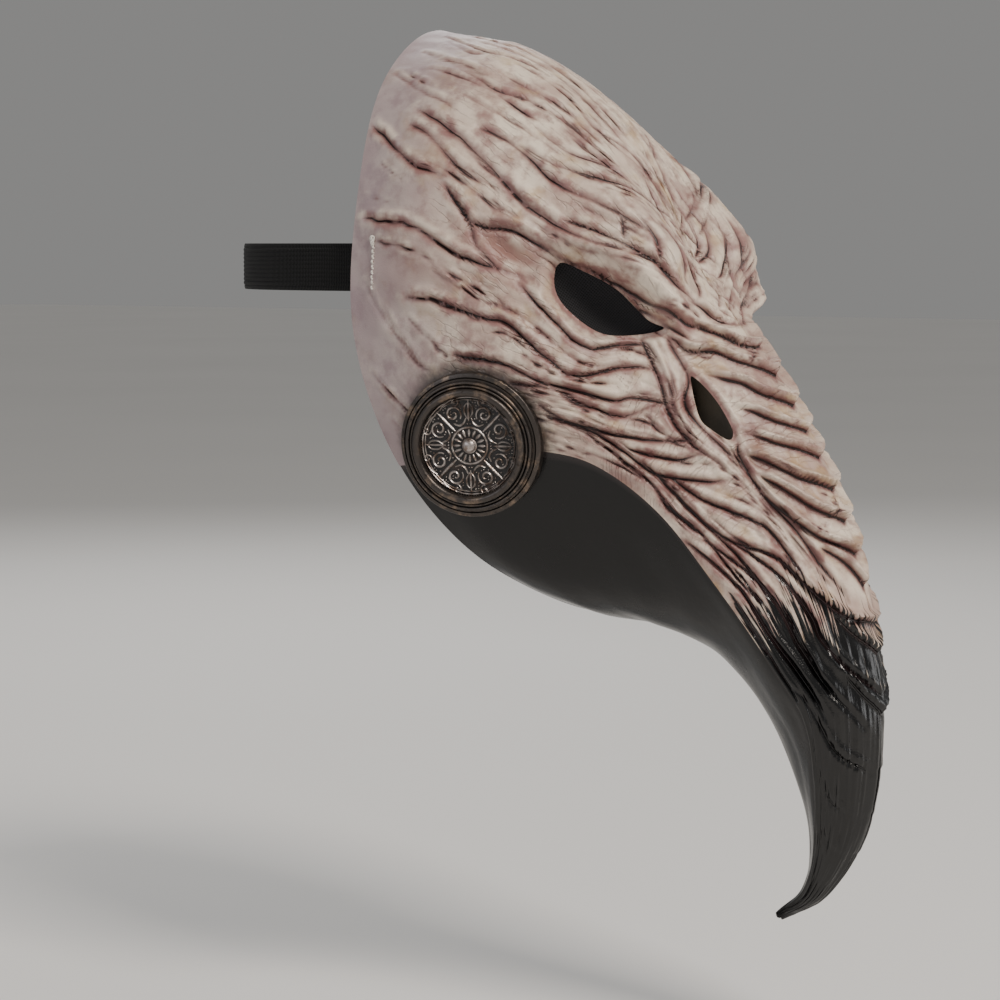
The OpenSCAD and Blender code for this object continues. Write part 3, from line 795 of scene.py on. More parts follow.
def tube(path, radii, sides, up, closed=False):
    """Points and faces of a tube along a path. A flat second radius makes it oval."""
    path = np.asarray(path, float)
    n = len(path)
    if closed:
        ahead = np.roll(path, -1, 0) - np.roll(path, 1, 0)
    else:
        ahead = np.gradient(path, axis=0)
    ahead /= np.linalg.norm(ahead, axis=1, keepdims=True)
    up = np.broadcast_to(np.asarray(up, float), path.shape)
    across = np.cross(ahead, up)
    across /= np.linalg.norm(across, axis=1, keepdims=True)
    rise = np.cross(across, ahead)
    radii = np.broadcast_to(np.asarray(radii, float), (n, 2))
    points, faces = [], []
    for k in range(sides):
        a = 2 * math.pi * k / sides
        points.append(path + across * radii[:, :1] * math.cos(a) + rise * radii[:, 1:] * math.sin(a))
    points = np.stack(points, 1).reshape(-1, 3)
    for i in range(n if closed else n - 1):
        j = (i + 1) % n
        for k in range(sides):
            m = (k + 1) % sides
            faces.append([i * sides + k, i * sides + m, j * sides + m, j * sides + k])
    if not closed:
        faces.append(list(range(sides))[::-1])
        faces.append([(n - 1) * sides + k for k in range(sides)])
    return points, faces


def joined(parts):
    """Several sets of points and faces as one."""
    points, faces, first = [], [], 0
    for part_points, part_faces in parts:
        points.append(part_points)
        faces += [[first + i for i in face] for face in part_faces]
        first += len(part_points)
    return np.concatenate(points), faces


# ---------------------------------------------------------------- the medallions
BEZEL_R = 29.5
DISC_R = 23.0
WELL_R = BEZEL_R - 4
BACKING_TOP = 4.6
TICKS = 120


def arc(centre, radius, low, high, step=15):
    """Points of an arc in a section, by degrees."""
    count = max(2, round(abs(high - low) / step) + 1)
    return [(centre[0] + radius * math.cos(math.radians(a)), centre[1] + radius * math.sin(math.radians(a)))
            for a in np.linspace(low, high, count)]


def boss(side_name):
    side, r, front = SIDES[side_name], BOSS_R, SEAT_FRONT
    profile = [(r - 2.4, -SEAT_BACK), (r - 0.8, -SEAT_BACK)] + arc((r - 0.8, -SEAT_BACK + 0.8), 0.8, -60, 0)
    profile += [(r, front - 2.2)] + arc((r - 0.8, front - 1.7), 0.8, 0, 80)
    profile += arc((r - 2.4, front - 0.45), 0.55, 90, 0)[::-1][2:3] + [(r - 2.2, front - 0.9)]
    profile += [(r - 2.6, front), (r - 3.3, front), (WELL_R, front), (WELL_R, front - 2), (0, front - 2)]
    profile += [(0, front - 4.4), (r - 2.4, front - 4.4)]
    return turned("medallion_flange_" + side_name, profile, side, 160, True)


def bezel(side_name):
    side, base = SIDES[side_name], SEAT_FRONT
    outer, inner = BEZEL_R, DISC_R
    profile = [(WELL_R + 0.05, base + 0.02), (outer - 0.2, base + 0.02)]
    profile += [(x, base + z) for x, z in arc((outer - 0.7, 1.5), 0.7, -20, 180)]
    profile += [(outer - 1.75, base + 1.0)]
    profile += [(x, base + z) for x, z in arc((outer - 2.35, 1.75), 0.55, 0, 180)]
    profile += [(outer - 3.05, base + 1.3)]
    profile += [(x, base + z) for x, z in arc((outer - 4.9, 2.6), 1.75, -10, 190)]
    profile += [(inner - 0.1, base + 1.2), (inner - 0.1, base + 0.3), (WELL_R + 0.05, base + 0.3)]
    return turned("medallion_bezel_ring_" + side_name, profile, side, 160, True)


def backing(side_name):
    profile = [(0, 3.02), (WELL_R - 0.2, 3.02), (WELL_R - 0.2, 4.3), (WELL_R - 0.6, BACKING_TOP),
               (DISC_R - 1, BACKING_TOP), (12, BACKING_TOP + 0.25), (0, BACKING_TOP + 0.35)]
    return turned("medallion_ground_" + side_name, profile, SIDES[side_name], 96, False)


def scroll(centre, start_r, end_r, start, turns, count=26):
    """A flat spiral in the plane of the disc."""
    t = np.linspace(0, 1, count)
    r = start_r + (end_r - start_r) * t ** 0.8
    a = math.radians(start) + 2 * math.pi * turns * t
    return np.stack([centre[0] + r * np.cos(a), centre[1] + r * np.sin(a)], 1)


def flat_turn(points, degrees, flip=False):
    """Turns flat points about the middle of the disc."""
    points = np.array(points, float)
    if flip:
        points = points * [1, -1]
    a = math.radians(degrees)
    return points @ np.array([[math.cos(a), math.sin(a)], [-math.sin(a), math.cos(a)]])


def ground_beads(lines):
    """Small beads that fill the ground between the raised lines, in rings 1.25 mm apart."""
    pitch, radius = 1.25, 0.42
    beads = []
    for ring in range(6, 17):
        r = ring * pitch
        count = round(2 * math.pi * r / pitch)
        for k in range(count):
            a = 2 * math.pi * (k + 0.5 * (ring % 2)) / count
            spot = np.array([r * math.cos(a), r * math.sin(a)])
            if np.sqrt(((lines - spot) ** 2).sum(1)).min() < 0.75:
                continue
            path = [(*spot, BACKING_TOP), (*spot, BACKING_TOP + 0.35), (*spot, BACKING_TOP + 0.6)]
            beads.append(tube(path, [(share * radius,) * 2 for share in (1, 0.85, 0.3)], 6, (1, 0, 0)))
    return beads


def scrollwork(side_name):
    """The raised lines of the disc: eight scrolls, four bars, curls, petals and dots round the stud."""
    lines = []
    for quarter in range(4):
        turn = 45 + 90 * quarter
        lines.append((flat_turn([(9.2, 0), (13, 0), (17, 0), (21.3, 0)], turn), 0.75))
        for flip in (False, True):
            lines.append((flat_turn(scroll((15.2, 4.9), 0.5, 3.9, 40, 1.35), turn, flip), 0.62))
            lines.append((flat_turn([(12.0, 2.0), (9.6, 3.2), (9.0, 5.6), (9.9, 8.2)], turn, flip), 0.55))
            lines.append((flat_turn(scroll((18.6, 9.6), 0.4, 2.0, 200, 1.1, 18), turn, flip), 0.5))
            lines.append((flat_turn([(20.6, 1.6), (21.2, 4.2), (20.9, 6.8), (20.2, 8.6)], turn, flip), 0.5))
        lines.append((flat_turn([(11.2, 0), (13.4, 0), (16.5, 0), (20.8, 0)], turn + 45), 0.55))
        for flip in (False, True):
            lines.append((flat_turn([(19.6, 0.3), (18, 1.7), (15, 1.9), (12.4, 0.4)], turn + 45, flip), 0.45))
    parts = []
    for points, width in lines:
        path = smooth_path(points, 0.25) if len(points) < 8 else np.array(points)
        share = np.linspace(0, 1, len(path))
        swell = 0.55 + 0.45 * np.sin(np.pi * share)
        radii = np.stack([width * swell, 0.95 * swell + 0.1], 1)
        spots = np.concatenate([path, np.full((len(path), 1), BACKING_TOP + 0.1)], 1)
        parts.append(tube(spots, radii, 8, (0, 0, 1)))
    for radius, width in ((DISC_R - 0.75, 0.5), (8.3, 0.55), (DISC_R - 2.0, 0.3)):
        a = np.linspace(0, 2 * math.pi, 96, endpoint=False)
        ring = np.stack([radius * np.cos(a), radius * np.sin(a), 0 * a + BACKING_TOP + 0.15], 1)
        parts.append(tube(ring, (width, 0.7), 8, (0, 0, 1), closed=True))
    petals = 16
    for k in range(petals):
        petal = flat_turn([(4.2, 0), (5.2, 0), (6.3, 0), (7.5, 0)], k * 360 / petals)
        spots = np.concatenate([petal, np.full((4, 1), BACKING_TOP + 0.4)], 1)
        parts.append(tube(spots, [(0.25, 0.5), (0.55, 0.85), (0.75, 0.95), (0.35, 0.5)], 8, (0, 0, 1)))
    for k in range(TICKS):
        tick = flat_turn([(WELL_R - 3.3, 0), (WELL_R - 2.2, 0)], k * 360 / TICKS)
        spots = np.concatenate([tick, np.full((2, 1), BACKING_TOP + 0.4)], 1)
        parts.append(tube(spots, (0.22, 0.5), 4, (0, 0, 1)))
    parts += ground_beads(np.concatenate([np.array(points)[:, :2] for points, _ in parts]))
    points, faces = joined(parts)
    piece = placed("medallion_scrolls_" + side_name, points, faces, SIDES[side_name])
    fix_outward(piece)
    smooth(piece, 50)
    return piece


def stud(side_name):
    base = BACKING_TOP + 0.2
    profile = [(0, base), (3.2, base), (3.5, base + 0.5), (3.0, base + 0.9)]
    profile += [(3.1 * math.cos(a), base + 1.0 + 2.1 * math.sin(a)) for a in np.linspace(0, math.pi / 2, 9)]
    return turned("medallion_dome_" + side_name, profile, SIDES[side_name], 48, False)


# ---------------------------------------------------------------- eyes
MESH_SUNK = WALL + 1.3
MESH_U = (2.45, 4.13)
MESH_V = (1.45, 2.36)


def eye_cloth(side_name):
    side = SIDES[side_name]
    us, vs = np.linspace(*MESH_U, 49), np.linspace(*MESH_V, 33)
    u, v = (x.ravel() for x in np.meshgrid(us, vs, indexing="ij"))
    spots = bare(u, v, side) + (hump(u, v, FORMS) - MESH_SUNK)[:, None] * outward(u, v, side)
    piece = new_piece("eye_cloth_" + side_name, spots, grid_faces(49, 33, 0, side < 0))
    grid = spots.reshape(49, 33, 3)
    along = np.linalg.norm(np.diff(grid, axis=0), axis=2).sum(0).mean()
    across = np.linalg.norm(np.diff(grid, axis=1), axis=2).sum(1).mean()
    share = np.stack([(u - MESH_U[0]) / (MESH_U[1] - MESH_U[0]) * along,
                      (v - MESH_V[0]) / (MESH_V[1] - MESH_V[0]) * across], 1) * MM
    lay_flat(piece, "cloth_uv", share)
    thick = piece.modifiers.new("thickness", "SOLIDIFY")
    thick.thickness = 0.35 * MM
    thick.offset = 0
    apply_all(piece)
    smooth(piece, 60)
    return piece, (along * MM, across * MM)


def glue_bead(side_name):
    side = SIDES[side_name]
    corners = [(2.47, 1.47), (3.3, 1.45), (4.1, 1.47), (4.11, 1.9), (4.1, 2.34), (3.3, 2.36), (2.47, 2.34),
               (2.45, 1.9)]
    spots = smooth_path(corners, 0.05, closed=True)
    u, v = spots[:, 0], spots[:, 1]
    n = outward(u, v, side)
    path = bare(u, v, side) + (hump(u, v, FORMS) - MESH_SUNK - 1.6)[:, None] * n
    lumps = 1.3 + 0.35 * lattice_noise(path / 4, 8)
    points, faces = tube(path, np.stack([lumps, 0.8 * lumps], 1), 12, n, closed=True)
    piece = new_piece("eye_glue_" + side_name, points, faces)
    fix_outward(piece)
    smooth(piece, 60)
    return piece


# ---------------------------------------------------------------- strap and stitches
STRAP_W = 22
STRAP_T = 1.6
STRAP_Z = -8
STRAP_X = 75.7
STRAP_BACK = 117.2
HINGE_Y = -5
STRAIGHT_L = 24
RIBS_ACROSS = 11


def strap():
    """The whole ribbed elastic, from its sewn end inside one temple round to the other."""
    bend = HINGE_Y + STRAIGHT_L
    half = [(79.6, -22), (78.9, -17), (77.3, -9), (76.1, -2), (75.8, 6)]
    curve = []
    for a in np.radians(np.arange(0, 91, 3)):
        curve.append((STRAP_X * abs(math.cos(a)) ** 0.9, bend + (STRAP_BACK - bend) * math.sin(a) ** 0.8))
    half = np.array(half + curve)
    path = np.concatenate([half, half[-2::-1] * [-1, 1]])
    path = smooth_path(path, 1 / 3)
    n = len(path)
    spots = np.column_stack([path, np.full(n, STRAP_Z)])
    ahead = np.gradient(spots, axis=0)
    ahead /= np.linalg.norm(ahead, axis=1, keepdims=True)
    out = np.cross(ahead, [0, 0, -1.0])
    out *= np.sign((out * (spots - [0, 20, STRAP_Z])).sum(1))[:, None]
    section = []
    for face in (1, -1):
        for k in range(RIBS_ACROSS * 6):
            share = k / (RIBS_ACROSS * 6 - 1)
            up = (share - 0.5) * STRAP_W * face
            rib = abs(math.sin(math.pi * RIBS_ACROSS * share)) ** 0.6
            edge = min(1, 6 * min(share, 1 - share) + 0.25)
            section.append((up, face * edge * (0.45 + 0.55 * rib) * STRAP_T / 2))
    m = len(section)
    length = np.concatenate([[0], np.cumsum(np.linalg.norm(np.diff(spots, axis=0), axis=1))])
    points = np.concatenate([spots[i] + np.array([out[i] * t + np.array([0, 0, up]) for up, t in section])
                             for i in range(n)])
    faces = [[i * m + k, i * m + (k + 1) % m, (i + 1) * m + (k + 1) % m, (i + 1) * m + k]
             for i in range(n - 1) for k in range(m)]
    faces += [list(range(m)), [(n - 1) * m + k for k in range(m)][::-1]]
    piece = new_piece("elastic_strap", points, faces)
    ups = [up for up, _ in section]
    lay_flat(piece, "strap_uv", np.stack([np.repeat(length, m), np.tile(ups, n)], 1) * MM)
    fix_outward(piece)
    smooth(piece, 50)
    return piece


STITCHES = 9
STITCH_U = 0.30
STITCH_V = (2.46, 2.75)


def thread_work(side_name):
    """The row of stitches, each out of the hide, down it and in again, with a knot at its end."""
    side = SIDES[side_name]
    chance = random.Random(7)
    parts = []
    vs = np.linspace(*STITCH_V, STITCHES + 1)
    for low, high in zip(vs[:-1], vs[1:]):
        gap = (high - low) * 0.12
        v = np.linspace(low + gap, high - gap, 7)
        u = STITCH_U + np.linspace(-0.006, 0.006, 7) + chance.uniform(-0.006, 0.006)
        lift = np.array([-0.9, 0.15, 0.45, 0.5, 0.45, 0.15, -0.9])
        n = outward(u, v, side)
        path = bare(u, v, side) + (hump(u, v, FORMS) + lift)[:, None] * n
        parts.append(tube(path, 0.5, 8, n))
    for turn in range(3):
        a = np.linspace(0, 2 * math.pi, 16, endpoint=False)
        u = STITCH_U - 0.012 + 0.02 * np.cos(a + turn) * (1 - 0.2 * turn)
        v = STITCH_V[0] - 0.02 + 0.03 * np.sin(a + 2 * turn)
        n = outward(u, v, side)
        lift = 0.7 + 0.5 * np.sin(2 * a + turn)
        path = bare(u, v, side) + (hump(u, v, FORMS) + lift)[:, None] * n
        parts.append(tube(path, 0.42, 8, n, closed=True))
    points, faces = joined(parts)
    piece = new_piece("stitches_" + side_name, points, faces)
    fix_outward(piece)
    smooth(piece, 60)
    return piece


# ---------------------------------------------------------------- materials
def colour(hex_code):
    """An sRGB hex colour as linear numbers."""
    parts = [int(hex_code[i:i + 2], 16) / 255 for i in (1, 3, 5)]
    return [c / 12.92 if c <= 0.04045 else ((c + 0.055) / 1.055) ** 2.4 for c in parts] + [1]


def per(size_mm):
    """Texture scale, in cells to the metre, of a pattern of a real size."""
    return 1000 / size_mm


def add(tree, kind, inputs, out=0, **settings):
    """Adds a node with its settings, and fills its sockets with values, hex colours or other nodes' outputs.

    It gives back the output that out names, or all of them if out is None."""
    made = tree.nodes.new("ShaderNode" + kind)
    for name, value in settings.items():
        setattr(made, name, value)
    for key, value in inputs.items():
        if isinstance(value, bpy.types.NodeSocket):
            tree.links.new(value, made.inputs[key])
        else:
            made.inputs[key].default_value = colour(value) if isinstance(value, str) else value
    return made.outputs if out is None else made.outputs[out]


SOFT = {"interpolation_type": "SMOOTHSTEP"}      # a Map Range that eases in and out
OVER = {"data_type": "RGBA"}                     # a Mix of colours: socket 7 over socket 6, by socket 0


def material(name, surface):
    """A material named for what it is. The function surface gives its Principled shader's sockets."""
    made = bpy.data.materials.new(name)
    made.use_nodes = True
    tree = made.node_tree
    tree.nodes.clear()
    where = add(tree, "TexCoord", {}, "Object")
    shader = add(tree, "BsdfPrincipled", surface(tree, where))
    add(tree, "OutputMaterial", {"Surface": shader}, None)
    return made


def latex_hide(tree, where):
    """Cast latex painted bone: a mauve wash wiped into its wrinkles, a brushed black tip, satin lacquer."""
    sheet_uv = add(tree, "UVMap", {}, uv_map="shell_uv")
    cavity, crest, stain_and_shade, nearest, beside, strong, tip, soot, rim_tint, blush = (
        add(tree, "Attribute", {}, "Fac", attribute_name=name) for name in HIDE_MARKS)
    blotch = add(tree, "TexNoise", {"Vector": where, "Scale": per(38), "Detail": 3.0, "Roughness": 0.55})
    mottle = add(tree, "TexNoise", {"Vector": where, "Scale": per(9), "Detail": 4, "Roughness": 0.55})
    eased = add(tree, "MapRange", {"Value": blotch, "From Min": 0.38, "From Max": 0.60}, **SOFT)
    base = add(tree, "Mix", {0: eased, 6: "#B39B8E", 7: "#DCCDBB"}, 2, **OVER)
    eased = add(tree, "MapRange", {"Value": mottle, "From Min": 0.46, "From Max": 0.72, "To Max": 0.75},
                **SOFT)
    base = add(tree, "Mix", {0: eased, 6: base, 7: "#8C685F"}, 2, **OVER)
    cloud = add(tree, "TexNoise", {"Vector": where, "Scale": per(17), "Detail": 4, "Roughness": 0.55})
    eased = add(tree, "MapRange", {"Value": cloud, "From Min": 0.52, "From Max": 0.68, "To Max": 0.6},
                **SOFT)
    base = add(tree, "Mix", {0: eased, 6: base, 7: "#A98A5C"}, 2, **OVER)
    cloud = add(tree, "TexNoise", {"Vector": where, "Scale": per(30), "Detail": 5, "Roughness": 0.65})
    eased = add(tree, "MapRange", {"Value": cloud, "From Min": 0.52, "From Max": 0.66, "To Max": 0.6},
                **SOFT)
    base = add(tree, "Mix", {0: eased, 6: base, 7: "#84605E"}, 2, **OVER)
    amount = add(tree, "Math", {0: rim_tint, 1: 0.75}, operation="MULTIPLY")
    base = add(tree, "Mix", {0: amount, 6: base, 7: "#8F8086"}, 2, **OVER)
    amount = add(tree, "Math", {0: blush, 1: 0.8}, operation="MULTIPLY")
    base = add(tree, "Mix", {0: amount, 6: base, 7: "#84534B"}, 2, **OVER)
    # Fine cracks round cells of about 25 x 3 mm, which run lengthwise on the head and across on the beak
    lengthwise = add(tree, "Mapping", {"Vector": sheet_uv, "Scale": (per(26), per(3.0), 1)})
    crosswise = add(tree, "Mapping", {"Vector": sheet_uv, "Scale": (per(3.2), per(24), 1)})
    wobble = add(tree, "TexNoise", {"Vector": where, "Scale": per(7), "Detail": 3.0}, "Color")
    cracks = []
    for direction in (lengthwise, crosswise):
        bent = add(tree, "VectorMath", {0: direction, 1: wobble}, operation="ADD")
        cells = add(tree, "TexVoronoi", {"Vector": bent, "Scale": 1.0, "Randomness": 1.0},
                    feature="DISTANCE_TO_EDGE", voronoi_dimensions="2D")
        cracks.append(cells)
    lengthways = add(tree, "SeparateXYZ", {"Vector": sheet_uv})
    on_beak = add(tree, "MapRange", {"Value": lengthways, "From Min": 0.16, "From Max": 0.20}, **SOFT)
    crack = add(tree, "Mix", {"Factor": on_beak, 2: cracks[0], 3: cracks[1]}, data_type="FLOAT")
    line = add(tree, "MapRange", {"Value": crack, "From Min": 0.10, "From Max": 0.0}, **SOFT)
    cloud = add(tree, "TexNoise", {"Vector": where, "Scale": per(13), "Detail": 3, "Roughness": 0.55})
    patchy = add(tree, "MapRange", {"Value": cloud, "From Min": 0.40, "From Max": 0.62}, **SOFT)
    line = add(tree, "Math", {0: line, 1: patchy}, operation="MULTIPLY")
    eased = add(tree, "MapRange", {"Value": tip, "From Min": 0.2, "From Max": -1.5}, **SOFT)
    line = add(tree, "Math", {0: line, 1: eased}, operation="MULTIPLY")
    eased = add(tree, "MapRange", {"Value": rim_tint, "From Min": 0.5, "From Max": 0.1}, **SOFT)
    line = add(tree, "Math", {0: line, 1: eased}, operation="MULTIPLY")
    amount = add(tree, "Math", {0: line, 1: 0.28}, operation="MULTIPLY")
    base = add(tree, "Mix", {0: amount, 6: base, 7: "#7A5C5C"}, 2, **OVER)
    amount = add(tree, "Math", {0: mottle, 1: 0.5}, operation="SUBTRACT")
    amount = add(tree, "Math", {0: amount, 1: 0.35}, operation="MULTIPLY")
    wash = add(tree, "Math", {0: cavity, 1: amount}, operation="ADD")
    # Mauve-brown from that mark: staining round the creases, and painted shade round the eye and nostril
    cloud = add(tree, "TexNoise", {"Vector": where, "Scale": per(5), "Detail": 4, "Roughness": 0.55})
    amount = add(tree, "Math", {0: cloud, 1: 0.5}, operation="SUBTRACT")
    amount = add(tree, "Math", {0: amount, 1: 0.9}, operation="MULTIPLY")
    around = add(tree, "Math", {0: stain_and_shade, 1: amount}, operation="ADD")
    eased = add(tree, "MapRange", {"Value": around, "From Min": 0.12, "From Max": 0.80, "To Max": 0.92},
                **SOFT)
    base = add(tree, "Mix", {0: eased, 6: base, 7: "#87605C"}, 2, **OVER)
    eased = add(tree, "MapRange", {"Value": wash, "From Min": 0.10, "From Max": 0.65, "To Max": 0.85},
                **SOFT)
    base = add(tree, "Mix", {0: eased, 6: base, 7: "#6B4744"}, 2, **OVER)
    # Painted highlight: the crests of the folds are painted paler, in patches
    cloud = add(tree, "TexNoise", {"Vector": where, "Scale": per(11), "Detail": 4, "Roughness": 0.55})
    eased = add(tree, "MapRange", {"Value": cloud, "From Min": 0.40, "From Max": 0.62, "To Max": 0.62},
                **SOFT)
    painted_crest_highlight = add(tree, "Math", {0: crest, 1: eased}, operation="MULTIPLY")
    base = add(tree, "Mix", {0: painted_crest_highlight, 6: base, 7: "#E3D6C3"}, 2, **OVER)
    # The wash has dried black in the bottom of each crease, in a line about 0.7 mm wide
    beside = add(tree, "Math", {0: beside}, operation="ABSOLUTE")
    cloud = add(tree, "TexNoise", {"Vector": where, "Scale": per(2.2), "Detail": 3, "Roughness": 0.55})
    amount = add(tree, "Math", {0: cloud, 1: 0.5}, operation="SUBTRACT")
    jitter = add(tree, "Math", {0: amount, 1: 0.3}, operation="MULTIPLY")
    amount = add(tree, "Math", {0: beside, 1: jitter}, operation="ADD")
    ink = add(tree, "MapRange", {"Value": amount, "From Min": 0.50, "From Max": 0.16}, **SOFT)
    eased = add(tree, "MapRange", {"Value": nearest, "From Min": 2.0, "From Max": 1.4}, **SOFT)
    ink = add(tree, "Math", {0: ink, 1: eased}, operation="MULTIPLY")
    eased = add(tree, "MapRange", {"Value": strong, "From Min": 0.35, "From Max": 0.85}, **SOFT)
    ink = add(tree, "Math", {0: ink, 1: eased}, operation="MULTIPLY")
    amount = add(tree, "Math", {0: ink, 1: 0.93}, operation="MULTIPLY")
    base = add(tree, "Mix", {0: amount, 6: base, 7: "#140D0D"}, 2, **OVER)
    cloud = add(tree, "TexNoise", {"Vector": where, "Scale": per(6), "Detail": 4, "Roughness": 0.55})
    amount = add(tree, "Math", {0: cloud, 1: 9.0}, operation="MULTIPLY")
    halo = add(tree, "Math", {0: soot, 1: amount}, operation="ADD")
    eased = add(tree, "MapRange", {"Value": halo, "From Min": 47, "From Max": 36, "To Max": 0.9}, **SOFT)
    base = add(tree, "Mix", {0: eased, 6: base, 7: "#231B1B"}, 2, **OVER)
    streaks = add(tree, "Mapping", {"Vector": sheet_uv, "Scale": (per(30), per(2.2), 1)})
    brushed = add(tree, "TexNoise", {"Vector": streaks, "Scale": 1.0, "Detail": 5.0})
    amount = add(tree, "Math", {0: brushed, 1: 0.5}, operation="SUBTRACT")
    amount = add(tree, "Math", {0: amount, 1: 2.0}, operation="MULTIPLY")
    edge = add(tree, "Math", {0: tip, 1: amount}, operation="ADD")
    amount = add(tree, "Math", {0: cavity, 1: 0.5}, operation="MULTIPLY")
    edge = add(tree, "Math", {0: edge, 1: amount}, operation="ADD")
    amount = add(tree, "Math", {0: crest, 1: 0.25}, operation="MULTIPLY")
    edge = add(tree, "Math", {0: edge, 1: amount}, operation="SUBTRACT")
    black = add(tree, "MapRange", {"Value": edge, "From Min": 0.0, "From Max": 0.16}, **SOFT)
    missed = add(tree, "MapRange", {"Value": tip, "From Min": 1.1, "From Max": 0.1}, **SOFT)
    eased = add(tree, "MapRange", {"Value": cavity, "From Min": 0.25, "From Max": 0.8, "To Max": 0.6},
                **SOFT)
    groove = add(tree, "Math", {0: eased, 1: missed}, operation="MULTIPLY")
    pink = add(tree, "Mix", {0: groove, 6: "#050506", 7: "#4C3838"}, 2, **OVER)
    base = add(tree, "Mix", {0: black, 6: base, 7: pink}, 2, **OVER)
    grain = add(tree, "TexNoise", {"Vector": where, "Scale": per(0.9), "Detail": 4, "Roughness": 0.6})
    amount = add(tree, "Math", {0: grain, 1: 0.28}, operation="MULTIPLY")
    amount_2 = add(tree, "Math", {0: line, 1: -0.8}, operation="MULTIPLY")
    height = add(tree, "Math", {0: amount_2, 1: amount}, operation="ADD")
    amount = add(tree, "Math", {0: ink, 1: 1.4}, operation="MULTIPLY")
    height = add(tree, "Math", {0: height, 1: amount}, operation="SUBTRACT")
    bump = add(tree, "Bump", {"Height": height, "Distance": 0.0006, "Strength": 0.75})
    rough = add(tree, "MapRange", {"Value": mottle, "To Min": 0.34, "To Max": 0.56})
    rough = add(tree, "Mix", {"Factor": black, 2: rough, 3: 0.19}, data_type="FLOAT")
    return {"Base Color": base, "Roughness": rough, "Normal": bump, "IOR": 1.52}


def latex_lining(tree, where):
    """The bare inside of a latex casting: dull, with slush-cast waves, its colour darkened to a deep brown as
    painted shade of the inside of the mask.
    """
    cloud = add(tree, "TexNoise", {"Vector": where, "Scale": per(16), "Detail": 4, "Roughness": 0.55})
    eased = add(tree, "MapRange", {"Value": cloud, "From Min": 0.4, "From Max": 0.65}, **SOFT)
    # Deep brown: the latex colour darkened as painted shade inside the mask
    base = add(tree, "Mix", {0: eased, 6: "#4F463A", 7: "#635848"}, 2, **OVER)
    cloud = add(tree, "TexNoise", {"Vector": where, "Scale": per(3), "Detail": 4, "Roughness": 0.55})
    bump = add(tree, "Bump", {"Height": cloud, "Distance": 0.0006, "Strength": 0.6})
    return {"Base Color": base, "Roughness": 0.6, "Normal": bump, "IOR": 1.52}


def latex_black(tree, where):
    """Smooth cast latex in black lacquer: soft wide highlights, a few dusty scuffs and a pale rubbed seam."""
    cloud = add(tree, "TexNoise", {"Vector": where, "Scale": per(26), "Detail": 5, "Roughness": 0.65})
    dust = add(tree, "MapRange", {"Value": cloud, "From Min": 0.52, "From Max": 0.75, "To Max": 0.4}, **SOFT)
    base = add(tree, "Mix", {0: dust, 6: "#030304", 7: "#0D0E11"}, 2, **OVER)
    cloud = add(tree, "TexNoise", {"Vector": where, "Scale": per(4), "Detail": 6, "Roughness": 0.7})
    scuff = add(tree, "MapRange", {"Value": cloud, "From Min": 0.70, "From Max": 0.78, "To Max": 0.5},
                **SOFT)
    base = add(tree, "Mix", {0: scuff, 6: base, 7: "#3B3735"}, 2, **OVER)
    stored = add(tree, "Attribute", {}, "Fac", attribute_name="seam_edge")
    amount = add(tree, "Math", {0: stored, 1: 0.5}, operation="MULTIPLY")
    base = add(tree, "Mix", {0: amount, 6: base, 7: "#4A4040"}, 2, **OVER)
    cloud = add(tree, "TexNoise", {"Vector": where, "Scale": per(18), "Detail": 4, "Roughness": 0.55})
    rough = add(tree, "MapRange", {"Value": cloud, "To Min": 0.20, "To Max": 0.38})
    cloud = add(tree, "TexNoise", {"Vector": where, "Scale": per(5), "Detail": 4, "Roughness": 0.55})
    bump = add(tree, "Bump", {"Height": cloud, "Distance": 0.0006, "Strength": 0.25})
    return {"Base Color": base, "Roughness": rough, "Normal": bump, "IOR": 1.52, "Specular IOR Level": 0.3,
            "Coat Weight": 0.15, "Coat Roughness": 0.12}


def gunmetal_wear_and_highlight(tree, where):
    """Resin in gunmetal paint, with random patches of warm bronze: partly paint wear, partly painted
    highlight.
    """
    # Warm bronze patches at random: paint wear, and painted highlight on the metal
    cloud = add(tree, "TexNoise", {"Vector": where, "Scale": per(7), "Detail": 5, "Roughness": 0.65})
    wear_and_highlight = add(tree, "MapRange", {"Value": cloud, "From Min": 0.50, "From Max": 0.70, "To Max": 0.8}, **SOFT)
    base = add(tree, "Mix", {0: wear_and_highlight, 6: "#4A4542", 7: "#8F7C6B"}, 2, **OVER)
    cloud = add(tree, "TexNoise", {"Vector": where, "Scale": per(2.5), "Detail": 4, "Roughness": 0.55})
    eased = add(tree, "MapRange", {"Value": cloud, "From Min": 0.58, "From Max": 0.70, "To Max": 0.7},
                **SOFT)
    base = add(tree, "Mix", {0: eased, 6: base, 7: "#2A211D"}, 2, **OVER)
    cloud = add(tree, "TexNoise", {"Vector": where, "Scale": per(3), "Detail": 5, "Roughness": 0.55})
    rough = add(tree, "MapRange", {"Value": cloud, "To Min": 0.26, "To Max": 0.52})
    cloud = add(tree, "TexNoise", {"Vector": where, "Scale": per(1.2), "Detail": 4, "Roughness": 0.55})
    bump = add(tree, "Bump", {"Height": cloud, "Distance": 0.0003, "Strength": 0.4})
    return {"Base Color": base, "Metallic": 0.85, "Roughness": rough, "Normal": bump}


